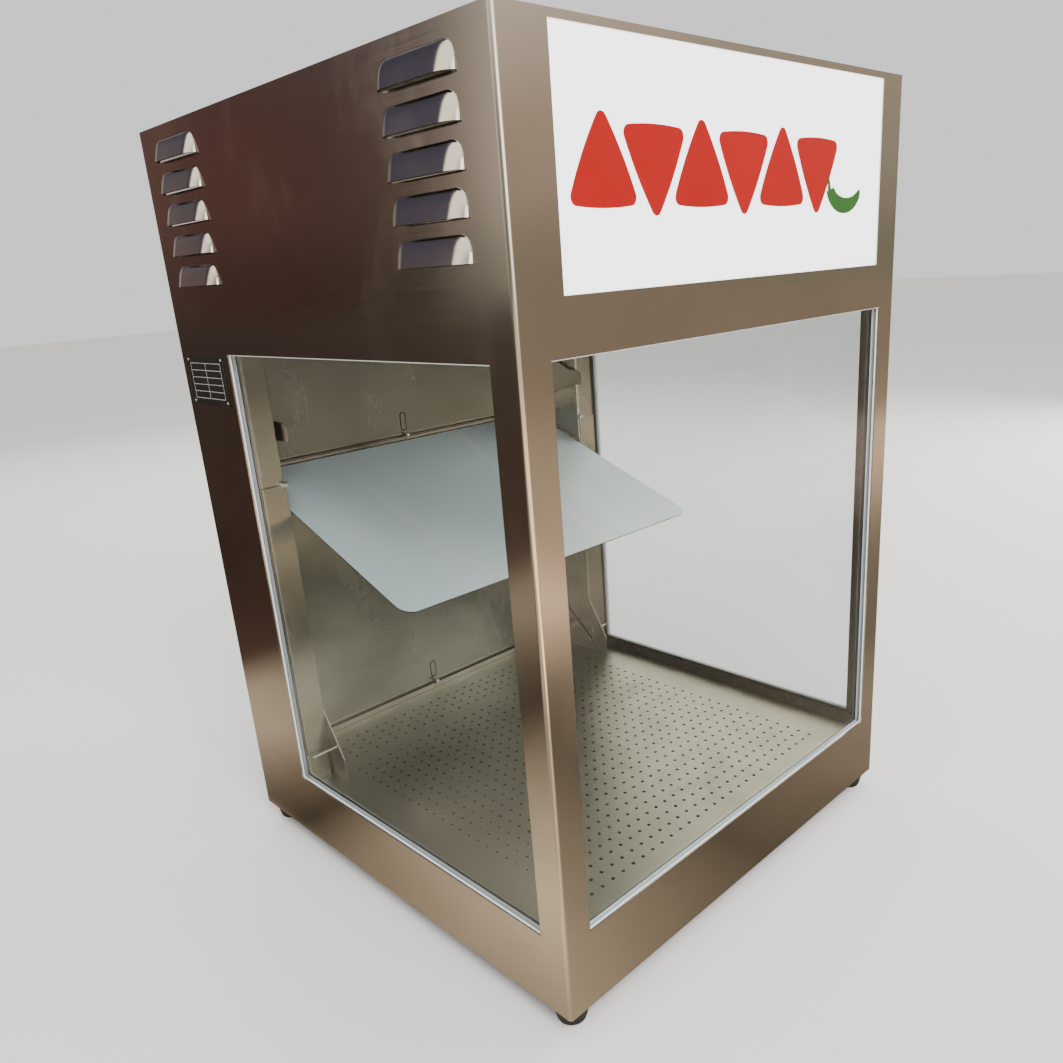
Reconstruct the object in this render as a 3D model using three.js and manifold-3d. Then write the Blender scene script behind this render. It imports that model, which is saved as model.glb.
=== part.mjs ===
// Counter-top cabinet that keeps nacho chips warm and lets them be served from behind.
// Millimetres, +Z up. +X runs to the right along the front, +Y runs from the front to the rear.
// Pieces are laid out from the front lower left corner of the sheet-metal body, and one group
// then puts the origin at the middle of the footprint, on the surface that the feet stand on.
import * as THREE from "three";
import { mergeVertices } from "three/addons/utils/BufferGeometryUtils.js";
import Module from "manifold-3d";

const wasm = await Module();
wasm.setup();

// ---------------------------------------------------------------- driving dimensions
const width = 457;
const depth = 462;
const height = 661;
const sheet = 1.2;
const gap = 0.3;
const inside = sheet + gap;
const cornerBend = 3;
const bendEnd = cornerBend + 0.5;
const behindFront = bendEnd + gap;
const glassThickness = 3;
const glassLap = 8;

// Depths behind the outer face of the sheet. Its legs reach past the opening's edge by the tip.
const channel = { thickness: 1.2, tip: 0.8 };
channel.front = inside + channel.thickness + gap;
channel.back = channel.front + glassThickness;
channel.end = channel.back + gap + channel.thickness;

const foot = { height: 16, inset: 17, topRadius: 15, baseRadius: 11 };
const frontWindow = { x0: 26, x1: 432, z0: 66, z1: 476 };
const sideWindow = { y0: 26, y1: 370, z0: 64, z1: 476 };
const sign = { x0: 40, x1: 423, z0: 512, z1: 656, lap: 4, bottomLap: 4, topLap: 2 };
const louvre = { length: 72.4, end: 12.6, rise: 16.4, reach: 7, rows: 5, pitch: 25, lowest: 533.4 };
const louvreColumns = [32.4, 361];

const floorTop = 51.2;
const deckBottom = 486;
const duct = { x0: channel.end + 0.5, x1: 34, y0: 372, y1: 458.9 };
const ductCover = { x0: 10, z0: 85.5, z1: 356, thickness: 1.8 };
const rail = { y0: 450.5, y1: 460.4 };
const panRear = rail.y1 - 1.9;
const headerBottom = 476.5;
const doorStop = { y0: 456.7, y1: 458.2, height: 7 };
const divider = { z0: 352.5, z1: 360 };
const sill = { z0: 51.5, z1: 57.5 };

const pinRadius = 1.9;
const pinClearance = 0.35;
const knuckleRadius = 3.2;
const pinReach = 2.5;
const doorMid = 455.2;
const door = { x0: 37, x1: width - 37 };
const upperDoor = { pinZ: 472, bottom: 362.5 };
const lowerDoor = { pinZ: 348, bottom: 60 };

const baffle = { x0: 38, x1: 419, rearY: 447.5, rearZ: 357, length: 258, corner: 14, tiltDeg: 21.4 };
const bafflePin = { y: 445.5, z: 352.6 };
const dataPlate = { thickness: 0.6, y0: 380, y1: 451, z0: 431, z1: 474 };
const trayBox = { x0: 34, x1: 423, y0: 20, y1: 457, z0: 1.6, z1: 40 };
const blower = { x: width / 2, y: 285, radius: 58, wheelRadius: 44, inletRadius: 38 };
const lightWindow = { x0: 150, x1: width - 150, y0: 60, y1: 130 };

// The rearmost thing is the thermostat knob, and the louvres stand out equally on both sides.
const knob = { x: 265, z: 600, radius: 15, shaftRadius: 3, rear: depth + 18 };

// ---------------------------------------------------------------- materials
const finish = (color, roughness, metalness) => ({ color, roughness, metalness });
const finishes = {
  brushedSteel: finish(0x8a8276, 0.38, 1),
  innerSteel: finish(0x8d8b82, 0.42, 1),
  brightSteel: finish(0xc9c9c6, 0.25, 1),
  filmedSteel: finish(0x9fadb2, 0.5, 0.3),
  glass: finish(0xdfe8ea, 0.05, 0),
  edging: finish(0xdfe7ee, 0.45, 0),
  signWhite: finish(0xf3f4f6, 0.4, 0),
  darkPlate: finish(0x3b3733, 0.5, 0.8),
  rubber: finish(0x141414, 0.85, 0),
  blackPlastic: finish(0x1b1b1d, 0.5, 0),
  galvanised: finish(0x9a9c9c, 0.5, 1),
  heater: finish(0x4b4643, 0.6, 0.8),
  lampWhite: finish(0xfaf7ea, 0.3, 0),
};

const cabinet = new THREE.Group();

function addPiece(name, finishName, geometry) {
  const material = new THREE.MeshStandardMaterial(finishes[finishName]);
  const mesh = new THREE.Mesh(geometry, material);
  mesh.name = name;
  cabinet.add(mesh);
  return mesh;
}

// ---------------------------------------------------------------- geometry helpers
function box(x0, x1, y0, y1, z0, z1) {
  const geometry = new THREE.BoxGeometry(x1 - x0, y1 - y0, z1 - z0);
  return geometry.translate((x0 + x1) / 2, (y0 + y1) / 2, (z0 + z1) / 2);
}

function rodAlongX(radius, x0, x1, y, z, sides = 16) {
  const geometry = new THREE.CylinderGeometry(radius, radius, x1 - x0, sides);
  return geometry.rotateZ(Math.PI / 2).translate((x0 + x1) / 2, y, z);
}

function rodAlongY(radius, x, y0, y1, z, sides = 24) {
  const geometry = new THREE.CylinderGeometry(radius, radius, y1 - y0, sides);
  return geometry.translate(x, (y0 + y1) / 2, z);
}

function discAlongZ(radius, x, y, z0, z1, sides = 32) {
  const geometry = new THREE.CylinderGeometry(radius, radius, z1 - z0, sides);
  return geometry.rotateX(Math.PI / 2).translate(x, y, (z0 + z1) / 2);
}

// A plate that stands in a plane of constant x, from its outline in (y, z).
function plateAcrossX(outline, x0, x1) {
  const shape = new THREE.Shape(outline.map(([y, z]) => new THREE.Vector2(y, z)));
  const geometry = new THREE.ExtrudeGeometry(shape, { depth: x1 - x0, bevelEnabled: false });
  const alongX = new THREE.Vector3(1, 0, 0);
  const alongY = new THREE.Vector3(0, 1, 0);
  const alongZ = new THREE.Vector3(0, 0, 1);
  geometry.applyMatrix4(new THREE.Matrix4().makeBasis(alongY, alongZ, alongX));
  return geometry.translate(x0, 0, 0);
}

function toSolid(geometry) {
  const bare = geometry.index ? geometry.toNonIndexed() : geometry.clone();
  bare.deleteAttribute("normal");
  bare.deleteAttribute("uv");
  const merged = mergeVertices(bare, 1e-4);
  return new wasm.Manifold(
    new wasm.Mesh({
      numProp: 3,
      vertProperties: new Float32Array(merged.attributes.position.array),
      triVerts: new Uint32Array(merged.index.array),
    }),
  );
}

function toGeometry(solid) {
  const mesh = solid.getMesh();
  const geometry = new THREE.BufferGeometry();
  geometry.setAttribute("position", new THREE.BufferAttribute(mesh.vertProperties, 3));
  geometry.setIndex(new THREE.BufferAttribute(mesh.triVerts, 1));
  return geometry;
}

function weld(...geometries) {
  return toGeometry(geometries.map(toSolid).reduce((sum, next) => sum.add(next)));
}

function carve(base, ...cuts) {
  return toGeometry(cuts.map(toSolid).reduce((rest, cut) => rest.subtract(cut), toSolid(base)));
}

function mirrored(geometry) {
  const copy = geometry.clone().applyMatrix4(new THREE.Matrix4().makeScale(-1, 1, 1));
  copy.translate(width, 0, 0);
  const { array } = copy.index;
  for (let i = 0; i < array.length; i += 3) {
    [array[i], array[i + 1]] = [array[i + 1], array[i]];
  }
  return copy;
}

// The same piece on the left and on the right of the cabinet.
function addPair(name, finishName, leftGeometry) {
  const left = toGeometry(toSolid(leftGeometry));
  addPiece(`left_${name}`, finishName, left);
  addPiece(`right_${name}`, finishName, mirrored(left));
}

// ---------------------------------------------------------------- outer sheets
function makeFrontPanel() {
  const innerBend = cornerBend - sheet;
  const shape = new THREE.Shape();
  shape.moveTo(0, bendEnd);
  shape.absarc(cornerBend, cornerBend, cornerBend, Math.PI, Math.PI * 1.5, false);
  shape.absarc(width - cornerBend, cornerBend, cornerBend, Math.PI * 1.5, Math.PI * 2, false);
  shape.lineTo(width, bendEnd);
  shape.lineTo(width - sheet, bendEnd);
  shape.absarc(width - cornerBend, cornerBend, innerBend, 0, -Math.PI / 2, true);
  shape.absarc(cornerBend, cornerBend, innerBend, -Math.PI / 2, -Math.PI, true);
  shape.lineTo(sheet, bendEnd);
  const blank = new THREE.ExtrudeGeometry(shape, { depth: height, bevelEnabled: false, curveSegments: 4 });
  const through = [-1, sheet + 1];
  return carve(
    blank,
    box(frontWindow.x0, frontWindow.x1, ...through, frontWindow.z0, frontWindow.z1),
    box(sign.x0, sign.x1, ...through, sign.z0, sign.z1),
  );
}

// The form of a pressed hood that opens downwards: a face that slopes out from the sheet to the
// lip, a quarter cone at each end, and a root that runs back into the sheet. The inner form is
// smaller by the sheet's thickness.
function louvreForm(shrink, root) {
  const half = louvre.length / 2 - louvre.end;
  const rise = louvre.rise - 2.5 * shrink;
  const end = louvre.end - 2.5 * shrink;
  const reach = louvre.reach - shrink;
  const profile = [
    [0, -reach],
    [rise, 0],
    [rise, root],
    [0, root],
  ];
  const cone = new THREE.LatheGeometry(profile.map(([r, y]) => new THREE.Vector2(r, y)), 32);
  cone.rotateZ(-Math.PI / 2).scale(1, end / rise, 1);
  const shape = new THREE.Shape();
  shape.moveTo(-reach, 0);
  shape.lineTo(root, 0);
  shape.lineTo(root, rise);
  shape.lineTo(0, rise);
  const face = new THREE.ExtrudeGeometry(shape, { depth: 2 * half, bevelEnabled: false });
  face.rotateX(Math.PI / 2).translate(0, half, 0);
  const full = weld(face, cone.clone().translate(0, -half, 0), cone.clone().translate(0, half, 0));
  return toSolid(full).intersect(toSolid(box(-20, 20, -100, 100, 0, 100)));
}

function makeSidePanel() {
  const rearFlange = 14;
  let panel = toSolid(box(0, sheet, behindFront, depth, 0, height));
  panel = panel.add(toSolid(box(0, rearFlange, depth - sheet, depth, 0, height)));
  panel = panel.subtract(
    toSolid(box(-1, sheet + 1, sideWindow.y0, sideWindow.y1, sideWindow.z0, sideWindow.z1)),
  );
  const hood = louvreForm(0, sheet / 2);
  const mouth = louvreForm(sheet, sheet + 1);
  for (const start of louvreColumns) {
    for (let row = 0; row < louvre.rows; row += 1) {
      const place = [0, start + louvre.length / 2, louvre.lowest + row * louvre.pitch];
      panel = panel.add(hood.translate(place)).subtract(mouth.translate(place));
    }
  }
  return toGeometry(panel);
}

function addOuterSheets() {
  addPiece("front_panel", "brushedSteel", makeFrontPanel());
  addPair("side_panel", "brushedSteel", makeSidePanel());
  const top = box(inside, width - inside, behindFront, depth - inside, height - sheet, height);
  addPiece("top_panel", "brushedSteel", top);
}

// ---------------------------------------------------------------- windows and sign
// A pane, and the white channel that grips all four of its edges behind a sheet's opening.
// place(u0, u1, depth0, depth1, z0, z1) makes a box from distances along and behind the sheet.
function makeWindow(place, u0, u1, z0, z1) {
  const { front, back, end, tip } = channel;
  const lap = glassLap;
  const room = lap + gap;
  const rim = room + channel.thickness;
  const pane = place(u0 - lap, u1 + lap, front, back, z0 - lap, z1 + lap);
  const trim = carve(
    place(u0 - rim, u1 + rim, inside, end, z0 - rim, z1 + rim),
    place(u0 - room, u1 + room, front - gap, back + gap, z0 - room, z1 + room),
    place(u0 + tip, u1 - tip, inside - 1, end + 1, z0 + tip, z1 - tip),
  );
  return { pane, trim };
}

function addWindows() {
  const behindFrontSheet = (u0, u1, d0, d1, z0, z1) => box(u0, u1, d0, d1, z0, z1);
  const behindLeftSheet = (u0, u1, d0, d1, z0, z1) => box(d0, d1, u0, u1, z0, z1);
  const { x0, x1 } = frontWindow;
  const front = makeWindow(behindFrontSheet, x0, x1, frontWindow.z0, frontWindow.z1);
  addPiece("front_glass", "glass", front.pane);
  addPiece("front_window_trim", "edging", front.trim);
  const { y0, y1 } = sideWindow;
  const side = makeWindow(behindLeftSheet, y0, y1, sideWindow.z0, sideWindow.z1);
  addPair("glass", "glass", side.pane);
  addPair("window_trim", "edging", side.trim);

  const railFront = channel.end + gap;
  const railBack = railFront + 3.2;
  const corner = railBack + 1;
  const stand = [floorTop + gap, 62];
  const frontRail = box(corner, width - corner, railFront, railBack, ...stand);
  addPiece("front_glass_rail", "innerSteel", frontRail);
  addPair("glass_rail", "innerSteel", box(railFront, railBack, corner, duct.y0 - gap, ...stand));
}

function addSign() {
  const { x0, x1, z0, z1, lap, bottomLap, topLap } = sign;
  const back = inside + glassThickness;
  addPiece("sign_panel", "signWhite", box(x0 - lap, x1 + lap, inside, back, z0 - bottomLap, z1 + topLap));
}

function addDataPlate() {
  const { thickness, y0, y1, z0, z1 } = dataPlate;
  addPiece("data_plate", "darkPlate", box(-gap - thickness, -gap, y0, y1, z0, z1));
}

// ---------------------------------------------------------------- base, floor and feet
function addBase() {
  const wallTop = floorTop - sheet - gap;
  const trayWay = { x0: 30, x1: width - 30, top: wallTop - 5 };
  const inner = { x0: inside + sheet, x1: width - inside - sheet };
  const pan = carve(
    box(inside, width - inside, behindFront, panRear, 0, wallTop),
    box(inner.x0, inner.x1, behindFront + sheet, panRear - sheet, sheet, wallTop + 1),
    box(trayWay.x0, trayWay.x1, panRear - sheet - 1, panRear + 1, sheet, trayWay.top),
  );
  addPiece("base_pan", "innerSteel", pan);

  const ductMouth = [duct.x0 + 2.5, duct.x1 - 2.5, duct.y0 + 3, rail.y0 - 3];
  const through = [floorTop - sheet - 1, floorTop + 1];
  const [mx0, mx1, my0, my1] = ductMouth;
  const floor = carve(
    box(inside, width - inside, behindFront, rail.y0 - gap, floorTop - sheet, floorTop),
    box(mx0, mx1, my0, my1, ...through),
    box(width - mx1, width - mx0, my0, my1, ...through),
  );
  addPiece("perforated_floor", "innerSteel", floor);

  const corners = { front_left: [0, 0], front_right: [1, 0], rear_left: [0, 1], rear_right: [1, 1] };
  for (const [corner, [right, rearwards]] of Object.entries(corners)) {
    const tall = foot.height - gap;
    const geometry = new THREE.CylinderGeometry(foot.topRadius, foot.baseRadius, tall, 20);
    geometry.rotateX(Math.PI / 2);
    const x = right ? width - foot.inset : foot.inset;
    const y = rearwards ? depth - foot.inset : foot.inset;
    addPiece(`foot_${corner}`, "rubber", geometry).position.set(x, y, -gap - tall / 2);
  }
}

function addCrumbTray() {
  const { x0, x1, y0, y1, z0, z1 } = trayBox;
  const face = { side: 28, front: y1 + 1.8, rear: y1 + 3, top: z1 + 5 };
  const body = carve(
    weld(
      box(x0, x1, y0, y1, z0, z1),
      box(x0, x1, y1 - sheet, face.front + 0.2, z0, z1),
      box(face.side, width - face.side, face.front, face.rear, z0, face.top),
    ),
    box(x0 + sheet, x1 - sheet, y0 + sheet, y1 - sheet, z0 + sheet, z1 + 1),
  );
  addPiece("crumb_tray", "innerSteel", body);

  // The pull is a strip of sheet folded into a channel that opens upwards.
  const pull = { front: face.rear + gap, rear: y1 + 17, z0: 20, z1: 32, sheet: 1.5, halfWidth: 50 };
  const outline = [
    [pull.front, pull.z0],
    [pull.rear, pull.z0],
    [pull.rear, pull.z1],
    [pull.rear - pull.sheet, pull.z1],
    [pull.rear - pull.sheet, pull.z0 + pull.sheet],
    [pull.front + pull.sheet, pull.z0 + pull.sheet],
    [pull.front + pull.sheet, pull.z1],
    [pull.front, pull.z1],
  ];
  const middle = width / 2;
  const channel = plateAcrossX(outline, middle - pull.halfWidth, middle + pull.halfWidth);
  addPiece("crumb_tray_pull", "brightSteel", channel);
}

// ---------------------------------------------------------------- rear frame, ducts and guards
function pinHole(y, z) {
  return rodAlongX(pinRadius + pinClearance, duct.x1 - 10, duct.x1 + 10, y, z);
}

function addRearFrame() {
  const top = deckBottom - gap;
  const { x0, x1, y0, y1 } = duct;
  const column = carve(
    box(x0, x1, y0, y1, floorTop + gap, top),
    box(x0 - 1, x1 - sheet, y0 + sheet, y1 - sheet, floorTop - 1, top + 1),
    pinHole(doorMid, upperDoor.pinZ),
    pinHole(doorMid, lowerDoor.pinZ),
    pinHole(bafflePin.y, bafflePin.z),
  );
  addPair("air_duct", "innerSteel", column);

  const coverRear = y0 - gap;
  const coverFront = coverRear - ductCover.thickness;
  const stud = rodAlongX(3, x1 - 6, x1 + 1.5, coverFront, ductCover.z1, 12);
  const behindCover = box(x1 - 10, x1 + 10, coverRear, coverRear + 10, ductCover.z1 - 6, ductCover.z1 + 6);
  const plate = box(ductCover.x0, x1, coverFront, coverRear, ductCover.z0, ductCover.z1);
  addPair("duct_cover", "innerSteel", carve(weld(plate, stud), behindCover));

  const span = [duct.x1 + gap, width - duct.x1 - gap];
  for (const [name, { z0, z1 }] of Object.entries({ rear_divider: divider, rear_sill: sill })) {
    const bar = box(...span, rail.y0, rail.y1, z0, z1);
    const stop = box(...span, doorStop.y0, doorStop.y1, z0, z1 + doorStop.height);
    addPiece(name, "innerSteel", weld(bar, stop));
  }
}

function addSideGuards() {
  const x0 = duct.x1 + gap;
  const rod = { radius: 1.6, y: 366.5, z: 82 };
  const outline = [
    [345, floorTop + gap],
    [345, 77],
    [385, 147],
    [449, 147],
    [449, floorTop + gap],
  ];
  const hole = rodAlongX(rod.radius + gap, x0 - 1, x0 + 3, rod.y, rod.z);
  addPair("side_guard", "innerSteel", carve(plateAcrossX(outline, x0, x0 + sheet), hole));
  const head = rodAlongX(3.2, x0 + sheet + gap, x0 + sheet + 1.1, rod.y, rod.z);
  const shank = rodAlongX(rod.radius, duct.x0 + 4, x0 + sheet + 0.6, rod.y, rod.z);
  addPair("guard_rod", "brightSteel", weld(head, shank));

  const slope = Math.tan(THREE.MathUtils.degToRad(baffle.tiltDeg));
  const pegY = 378;
  const underside = baffle.rearZ - (baffle.rearY - pegY) * slope - 1.5 * sheet;
  const pegRadius = 3;
  const pegZ = underside - gap - pegRadius * 1.08;
  addPair("baffle_peg", "brightSteel", rodAlongX(pegRadius, duct.x1 + gap, 41, pegY, pegZ));
}

// ---------------------------------------------------------------- doors, catches and baffle
// A flat door that hangs from a rolled knuckle along its top edge. A triangular cheek is bent
// forwards from each of its sides.
function makeDoor(spec, cheekOutline) {
  const { pinZ, bottom } = spec;
  const knuckle = rodAlongX(knuckleRadius, door.x0, door.x1, doorMid, pinZ, 20);
  const leaf = box(door.x0, door.x1, doorMid - sheet / 2, doorMid + sheet / 2, bottom, pinZ);
  const cheek = plateAcrossX(cheekOutline, door.x0, door.x0 + sheet);
  const otherCheek = plateAcrossX(cheekOutline, door.x1 - sheet, door.x1);
  const bore = rodAlongX(pinRadius + pinClearance, door.x0 - 1, door.x1 + 1, doorMid, pinZ);
  const slot = { halfWidth: 2.6, low: bottom + 7, high: bottom + 22 };
  const across = [doorMid - 2, doorMid + 2];
  const middle = width / 2;
  const slotCut = box(middle - slot.halfWidth, middle + slot.halfWidth, ...across, slot.low, slot.high);
  return carve(weld(leaf, knuckle, cheek, otherCheek), bore, slotCut);
}

function hingePin(y, z) {
  return rodAlongX(pinRadius, duct.x1 - pinReach, width - duct.x1 + pinReach, y, z);
}

function addDoors() {
  const root = doorMid;
  const upperCheek = [
    [root, 448],
    [380, 413],
    [363, 412],
    [359, 409],
    [359, 398],
    [362, 395],
    [380, 395],
    [root, 370],
  ];
  const lowerCheek = [
    [root, 146],
    [371.5, 70],
    [369.5, 64],
    [373, lowerDoor.bottom + 1],
    [root, lowerDoor.bottom + 1],
  ];
  addPiece("upper_door", "innerSteel", makeDoor(upperDoor, upperCheek));
  addPiece("lower_door", "innerSteel", makeDoor(lowerDoor, lowerCheek));
  addPiece("upper_hinge_pin", "brightSteel", hingePin(doorMid, upperDoor.pinZ));
  addPiece("lower_hinge_pin", "brightSteel", hingePin(doorMid, lowerDoor.pinZ));

  // Ball catches stand on the rail under each door and meet the slot in the door's foot.
  const catches = { upper_catch: divider.z1, lower_catch: sill.z1 };
  for (const [name, railTop] of Object.entries(catches)) {
    const front = rail.y0 - gap;
    const clip = box(width / 2 - 6, width / 2 + 6, front - 1, front, railTop - 6, railTop + 2.5);
    const ball = new THREE.SphereGeometry(2.6, 12, 8).translate(width / 2, front - 1.6, railTop + 2.5);
    addPiece(name, "brightSteel", weld(clip, ball));
  }
}

function addBaffle() {
  const { x0, x1, length, corner } = baffle;
  const shape = new THREE.Shape();
  shape.moveTo(x0, 0);
  shape.lineTo(x0, -length + corner);
  shape.absarc(x0 + corner, -length + corner, corner, Math.PI, Math.PI * 1.5, false);
  shape.absarc(x1 - corner, -length + corner, corner, Math.PI * 1.5, Math.PI * 2, false);
  shape.lineTo(x1, 0);
  const plate = new THREE.ExtrudeGeometry(shape, { depth: sheet, bevelEnabled: false, curveSegments: 5 });
  plate.translate(0, 0, -sheet);
  plate.rotateX(THREE.MathUtils.degToRad(baffle.tiltDeg));
  plate.translate(0, baffle.rearY, baffle.rearZ);
  const knuckle = rodAlongX(knuckleRadius, x0 + 6, x1 - 6, bafflePin.y, bafflePin.z, 20);
  const bore = rodAlongX(pinRadius + pinClearance, x0 - 1, x1 + 1, bafflePin.y, bafflePin.z);
  addPiece("baffle_plate", "filmedSteel", carve(weld(plate, knuckle), bore));
  addPiece("baffle_hinge_pin", "brightSteel", hingePin(bafflePin.y, bafflePin.z));
}

// ---------------------------------------------------------------- header: air, heat and light
function addHeaderDeck() {
  const ductMouth = [duct.x0 + 2.5, duct.x1 - 2.5, duct.y0 + 3, duct.y1 - 5];
  const [mx0, mx1, my0, my1] = ductMouth;
  const through = [deckBottom - 1, deckBottom + sheet + 1];
  const deck = carve(
    box(inside, width - inside, behindFront, panRear, deckBottom, deckBottom + sheet),
    box(mx0, mx1, my0, my1, ...through),
    box(width - mx1, width - mx0, my0, my1, ...through),
    box(lightWindow.x0, lightWindow.x1, lightWindow.y0, lightWindow.y1, ...through),
    discAlongZ(blower.inletRadius, blower.x, blower.y, ...through),
  );
  addPiece("header_deck", "galvanised", deck);
}

function addAirSystem() {
  const bottom = deckBottom + sheet + gap;
  const plenum = { x0: 5, x1: width - 5, y0: duct.y0, y1: 457, top: 560 };
  const outlet = { x0: blower.x - blower.inletRadius, x1: blower.x + blower.inletRadius, z1: 535 };
  const shell = carve(
    box(plenum.x0, plenum.x1, plenum.y0, plenum.y1, bottom, plenum.top),
    box(
      plenum.x0 + sheet,
      plenum.x1 - sheet,
      plenum.y0 + sheet,
      plenum.y1 - sheet,
      bottom - 1,
      plenum.top - sheet,
    ),
    box(outlet.x0, outlet.x1, plenum.y0 - 1, plenum.y0 + 5, bottom - 1, outlet.z1),
  );
  addPiece("air_plenum", "galvanised", shell);

  const throatEnd = plenum.y0 - gap;
  const housing = carve(
    weld(
      discAlongZ(blower.radius, blower.x, blower.y, bottom, outlet.z1),
      box(outlet.x0, outlet.x1, blower.y, throatEnd, bottom, outlet.z1),
    ),
    discAlongZ(blower.radius - sheet, blower.x, blower.y, bottom - 1, outlet.z1 - sheet),
    box(
      outlet.x0 + sheet,
      outlet.x1 - sheet,
      blower.y,
      throatEnd + 1,
      bottom - 1,
      outlet.z1 - sheet,
    ),
    discAlongZ(6, blower.x, blower.y, outlet.z1 - 5, outlet.z1 + 1, 16),
  );
  addPiece("blower_housing", "galvanised", housing);

  const hub = { radius: 6, bottom: bottom + 12.5 };
  const disc = { bottom: bottom + 36.5, top: bottom + 39.5 };
  const blades = { inner: blower.wheelRadius - 5, outer: blower.wheelRadius, bottom: bottom + 4.5 };
  const spindle = { radius: 3, top: outlet.z1 + 10 };
  const wheelProfile = [
    [0, hub.bottom],
    [hub.radius, hub.bottom],
    [hub.radius, disc.bottom],
    [blades.inner, disc.bottom],
    [blades.inner, blades.bottom],
    [blades.outer, blades.bottom],
    [blades.outer, disc.top],
    [spindle.radius, disc.top],
    [spindle.radius, spindle.top],
    [0, spindle.top],
  ];
  const wheelPoints = wheelProfile.map(([r, z]) => new THREE.Vector2(r, z));
  const wheel = new THREE.LatheGeometry(wheelPoints, 28).rotateX(Math.PI / 2);
  addPiece("blower_wheel", "galvanised", wheel).position.set(blower.x, blower.y, 0);

  const motorBottom = outlet.z1 + gap;
  const motor = carve(
    discAlongZ(30, blower.x, blower.y, motorBottom, motorBottom + 52),
    discAlongZ(3.5, blower.x, blower.y, motorBottom - 1, motorBottom + 12, 16),
  );
  addPiece("blower_motor", "blackPlastic", motor);
}

function addHeater() {
  const legs = 5;
  const pitch = 14;
  const reach = 120;
  const y0 = 387;
  const z = 524;
  const points = [];
  for (let leg = 0; leg < legs; leg += 1) {
    const side = leg % 2 === 0 ? 1 : -1;
    points.push(new THREE.Vector3(blower.x - side * reach, y0 + leg * pitch, z));
    points.push(new THREE.Vector3(blower.x, y0 + leg * pitch, z));
    points.push(new THREE.Vector3(blower.x + side * reach, y0 + leg * pitch, z));
  }
  const path = new THREE.CatmullRomCurve3(points, false, "catmullrom", 0.2);
  const radius = 3.2;
  const section = new THREE.Shape();
  section.absarc(0, 0, radius, 0, Math.PI * 2, false);
  const tube = new THREE.ExtrudeGeometry(section, { extrudePath: path, steps: 56, curveSegments: 4 });
  addPiece("heater_element", "heater", tube);
}

function addLamp() {
  const lamp = { y: 46, z: 585, radius: 8, half: 135 };
  const middle = width / 2;
  const tube = rodAlongX(lamp.radius, middle - lamp.half, middle + lamp.half, lamp.y, lamp.z);
  addPiece("lamp_tube", "lampWhite", tube);
  const holder = { x1: middle - lamp.half - gap, length: 14, y0: lamp.y - 12, y1: lamp.y + 12 };
  const stand = [deckBottom + sheet + gap, lamp.z + 14];
  const block = box(holder.x1 - holder.length, holder.x1, holder.y0, holder.y1, ...stand);
  addPair("lamp_holder", "blackPlastic", block);
}

// ---------------------------------------------------------------- rear header panel and controls
function addControls() {
  const face = rail.y1;
  const back = face - sheet;
  const bezel = { x0: 312, x1: 392, z0: 580, z1: 620, thickness: 2.4 };
  const rocker = { z: 600, halfWidth: 10, halfHeight: 13, tiltDeg: 9 };
  const rockerCentres = { power_rocker: 332, light_rocker: 372 };
  const inlet = { x0: 60, x1: 108, z0: 580, z1: 608 };
  const { shaftRadius } = knob;

  const windows = Object.values(rockerCentres).map((x) =>
    box(
      x - rocker.halfWidth - 1,
      x + rocker.halfWidth + 1,
      back - 5,
      face + 10,
      rocker.z - rocker.halfHeight - 1.5,
      rocker.z + rocker.halfHeight + 1.5,
    ),
  );
  const panel = carve(
    box(inside, width - inside, back, face, headerBottom, height - inside - sheet),
    ...windows,
    rodAlongY(shaftRadius + 1, knob.x, back - 1, face + 1, knob.z, 16),
    box(inlet.x0 + 4, inlet.x1 - 4, back - 1, face + 1, inlet.z0 + 4, inlet.z1 - 4),
  );
  addPiece("rear_header_panel", "brushedSteel", panel);

  const bezelFront = face + gap;
  const bezelPlate = box(bezel.x0, bezel.x1, bezelFront, bezelFront + bezel.thickness, bezel.z0, bezel.z1);
  addPiece("switch_bezel", "blackPlastic", carve(bezelPlate, ...windows));

  // A rocker turns about a line across its middle; its upper half stands out when it is off.
  for (const [name, x] of Object.entries(rockerCentres)) {
    const key = box(
      -rocker.halfWidth,
      rocker.halfWidth,
      -4,
      3.2,
      -rocker.halfHeight,
      rocker.halfHeight,
    );
    key.rotateX(THREE.MathUtils.degToRad(-rocker.tiltDeg));
    addPiece(name, "blackPlastic", key).position.set(x, bezelFront + 0.5, rocker.z);
  }

  const grip = rodAlongY(knob.radius, knob.x, face + 2, knob.rear, knob.z, 28);
  const pointer = box(knob.x - 1.5, knob.x + 1.5, knob.rear - 3, knob.rear + 1, knob.z, knob.z + 13);
  const shaft = rodAlongY(shaftRadius, knob.x, back - 6, face + 3, knob.z, 16);
  addPiece("thermostat_knob", "blackPlastic", weld(carve(grip, pointer), shaft));
  const can = carve(
    rodAlongY(20, knob.x, back - 24, back - gap, knob.z, 24),
    rodAlongY(shaftRadius + 0.5, knob.x, back - 8, back + 1, knob.z, 16),
  );
  addPiece("thermostat_body", "galvanised", can);

  const { x0, x1, z0, z1 } = inlet;
  const socket = carve(
    weld(
      box(x0, x1, face + gap, face + 3, z0, z1),
      box(x0 + 5, x1 - 5, face - 20, face + 1, z0 + 5, z1 - 5),
    ),
    box(x0 + 8, x1 - 8, face - 14, face + 4, z0 + 8, z1 - 8),
  );
  addPiece("power_inlet", "blackPlastic", socket);
}

// ---------------------------------------------------------------- assembly
addOuterSheets();
addWindows();
addSign();
addDataPlate();
addBase();
addCrumbTray();
addRearFrame();
addSideGuards();
addDoors();
addBaffle();
addHeaderDeck();
addAirSystem();
addHeater();
addLamp();
addControls();

cabinet.position.set(-width / 2, -knob.rear / 2, foot.height);

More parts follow.
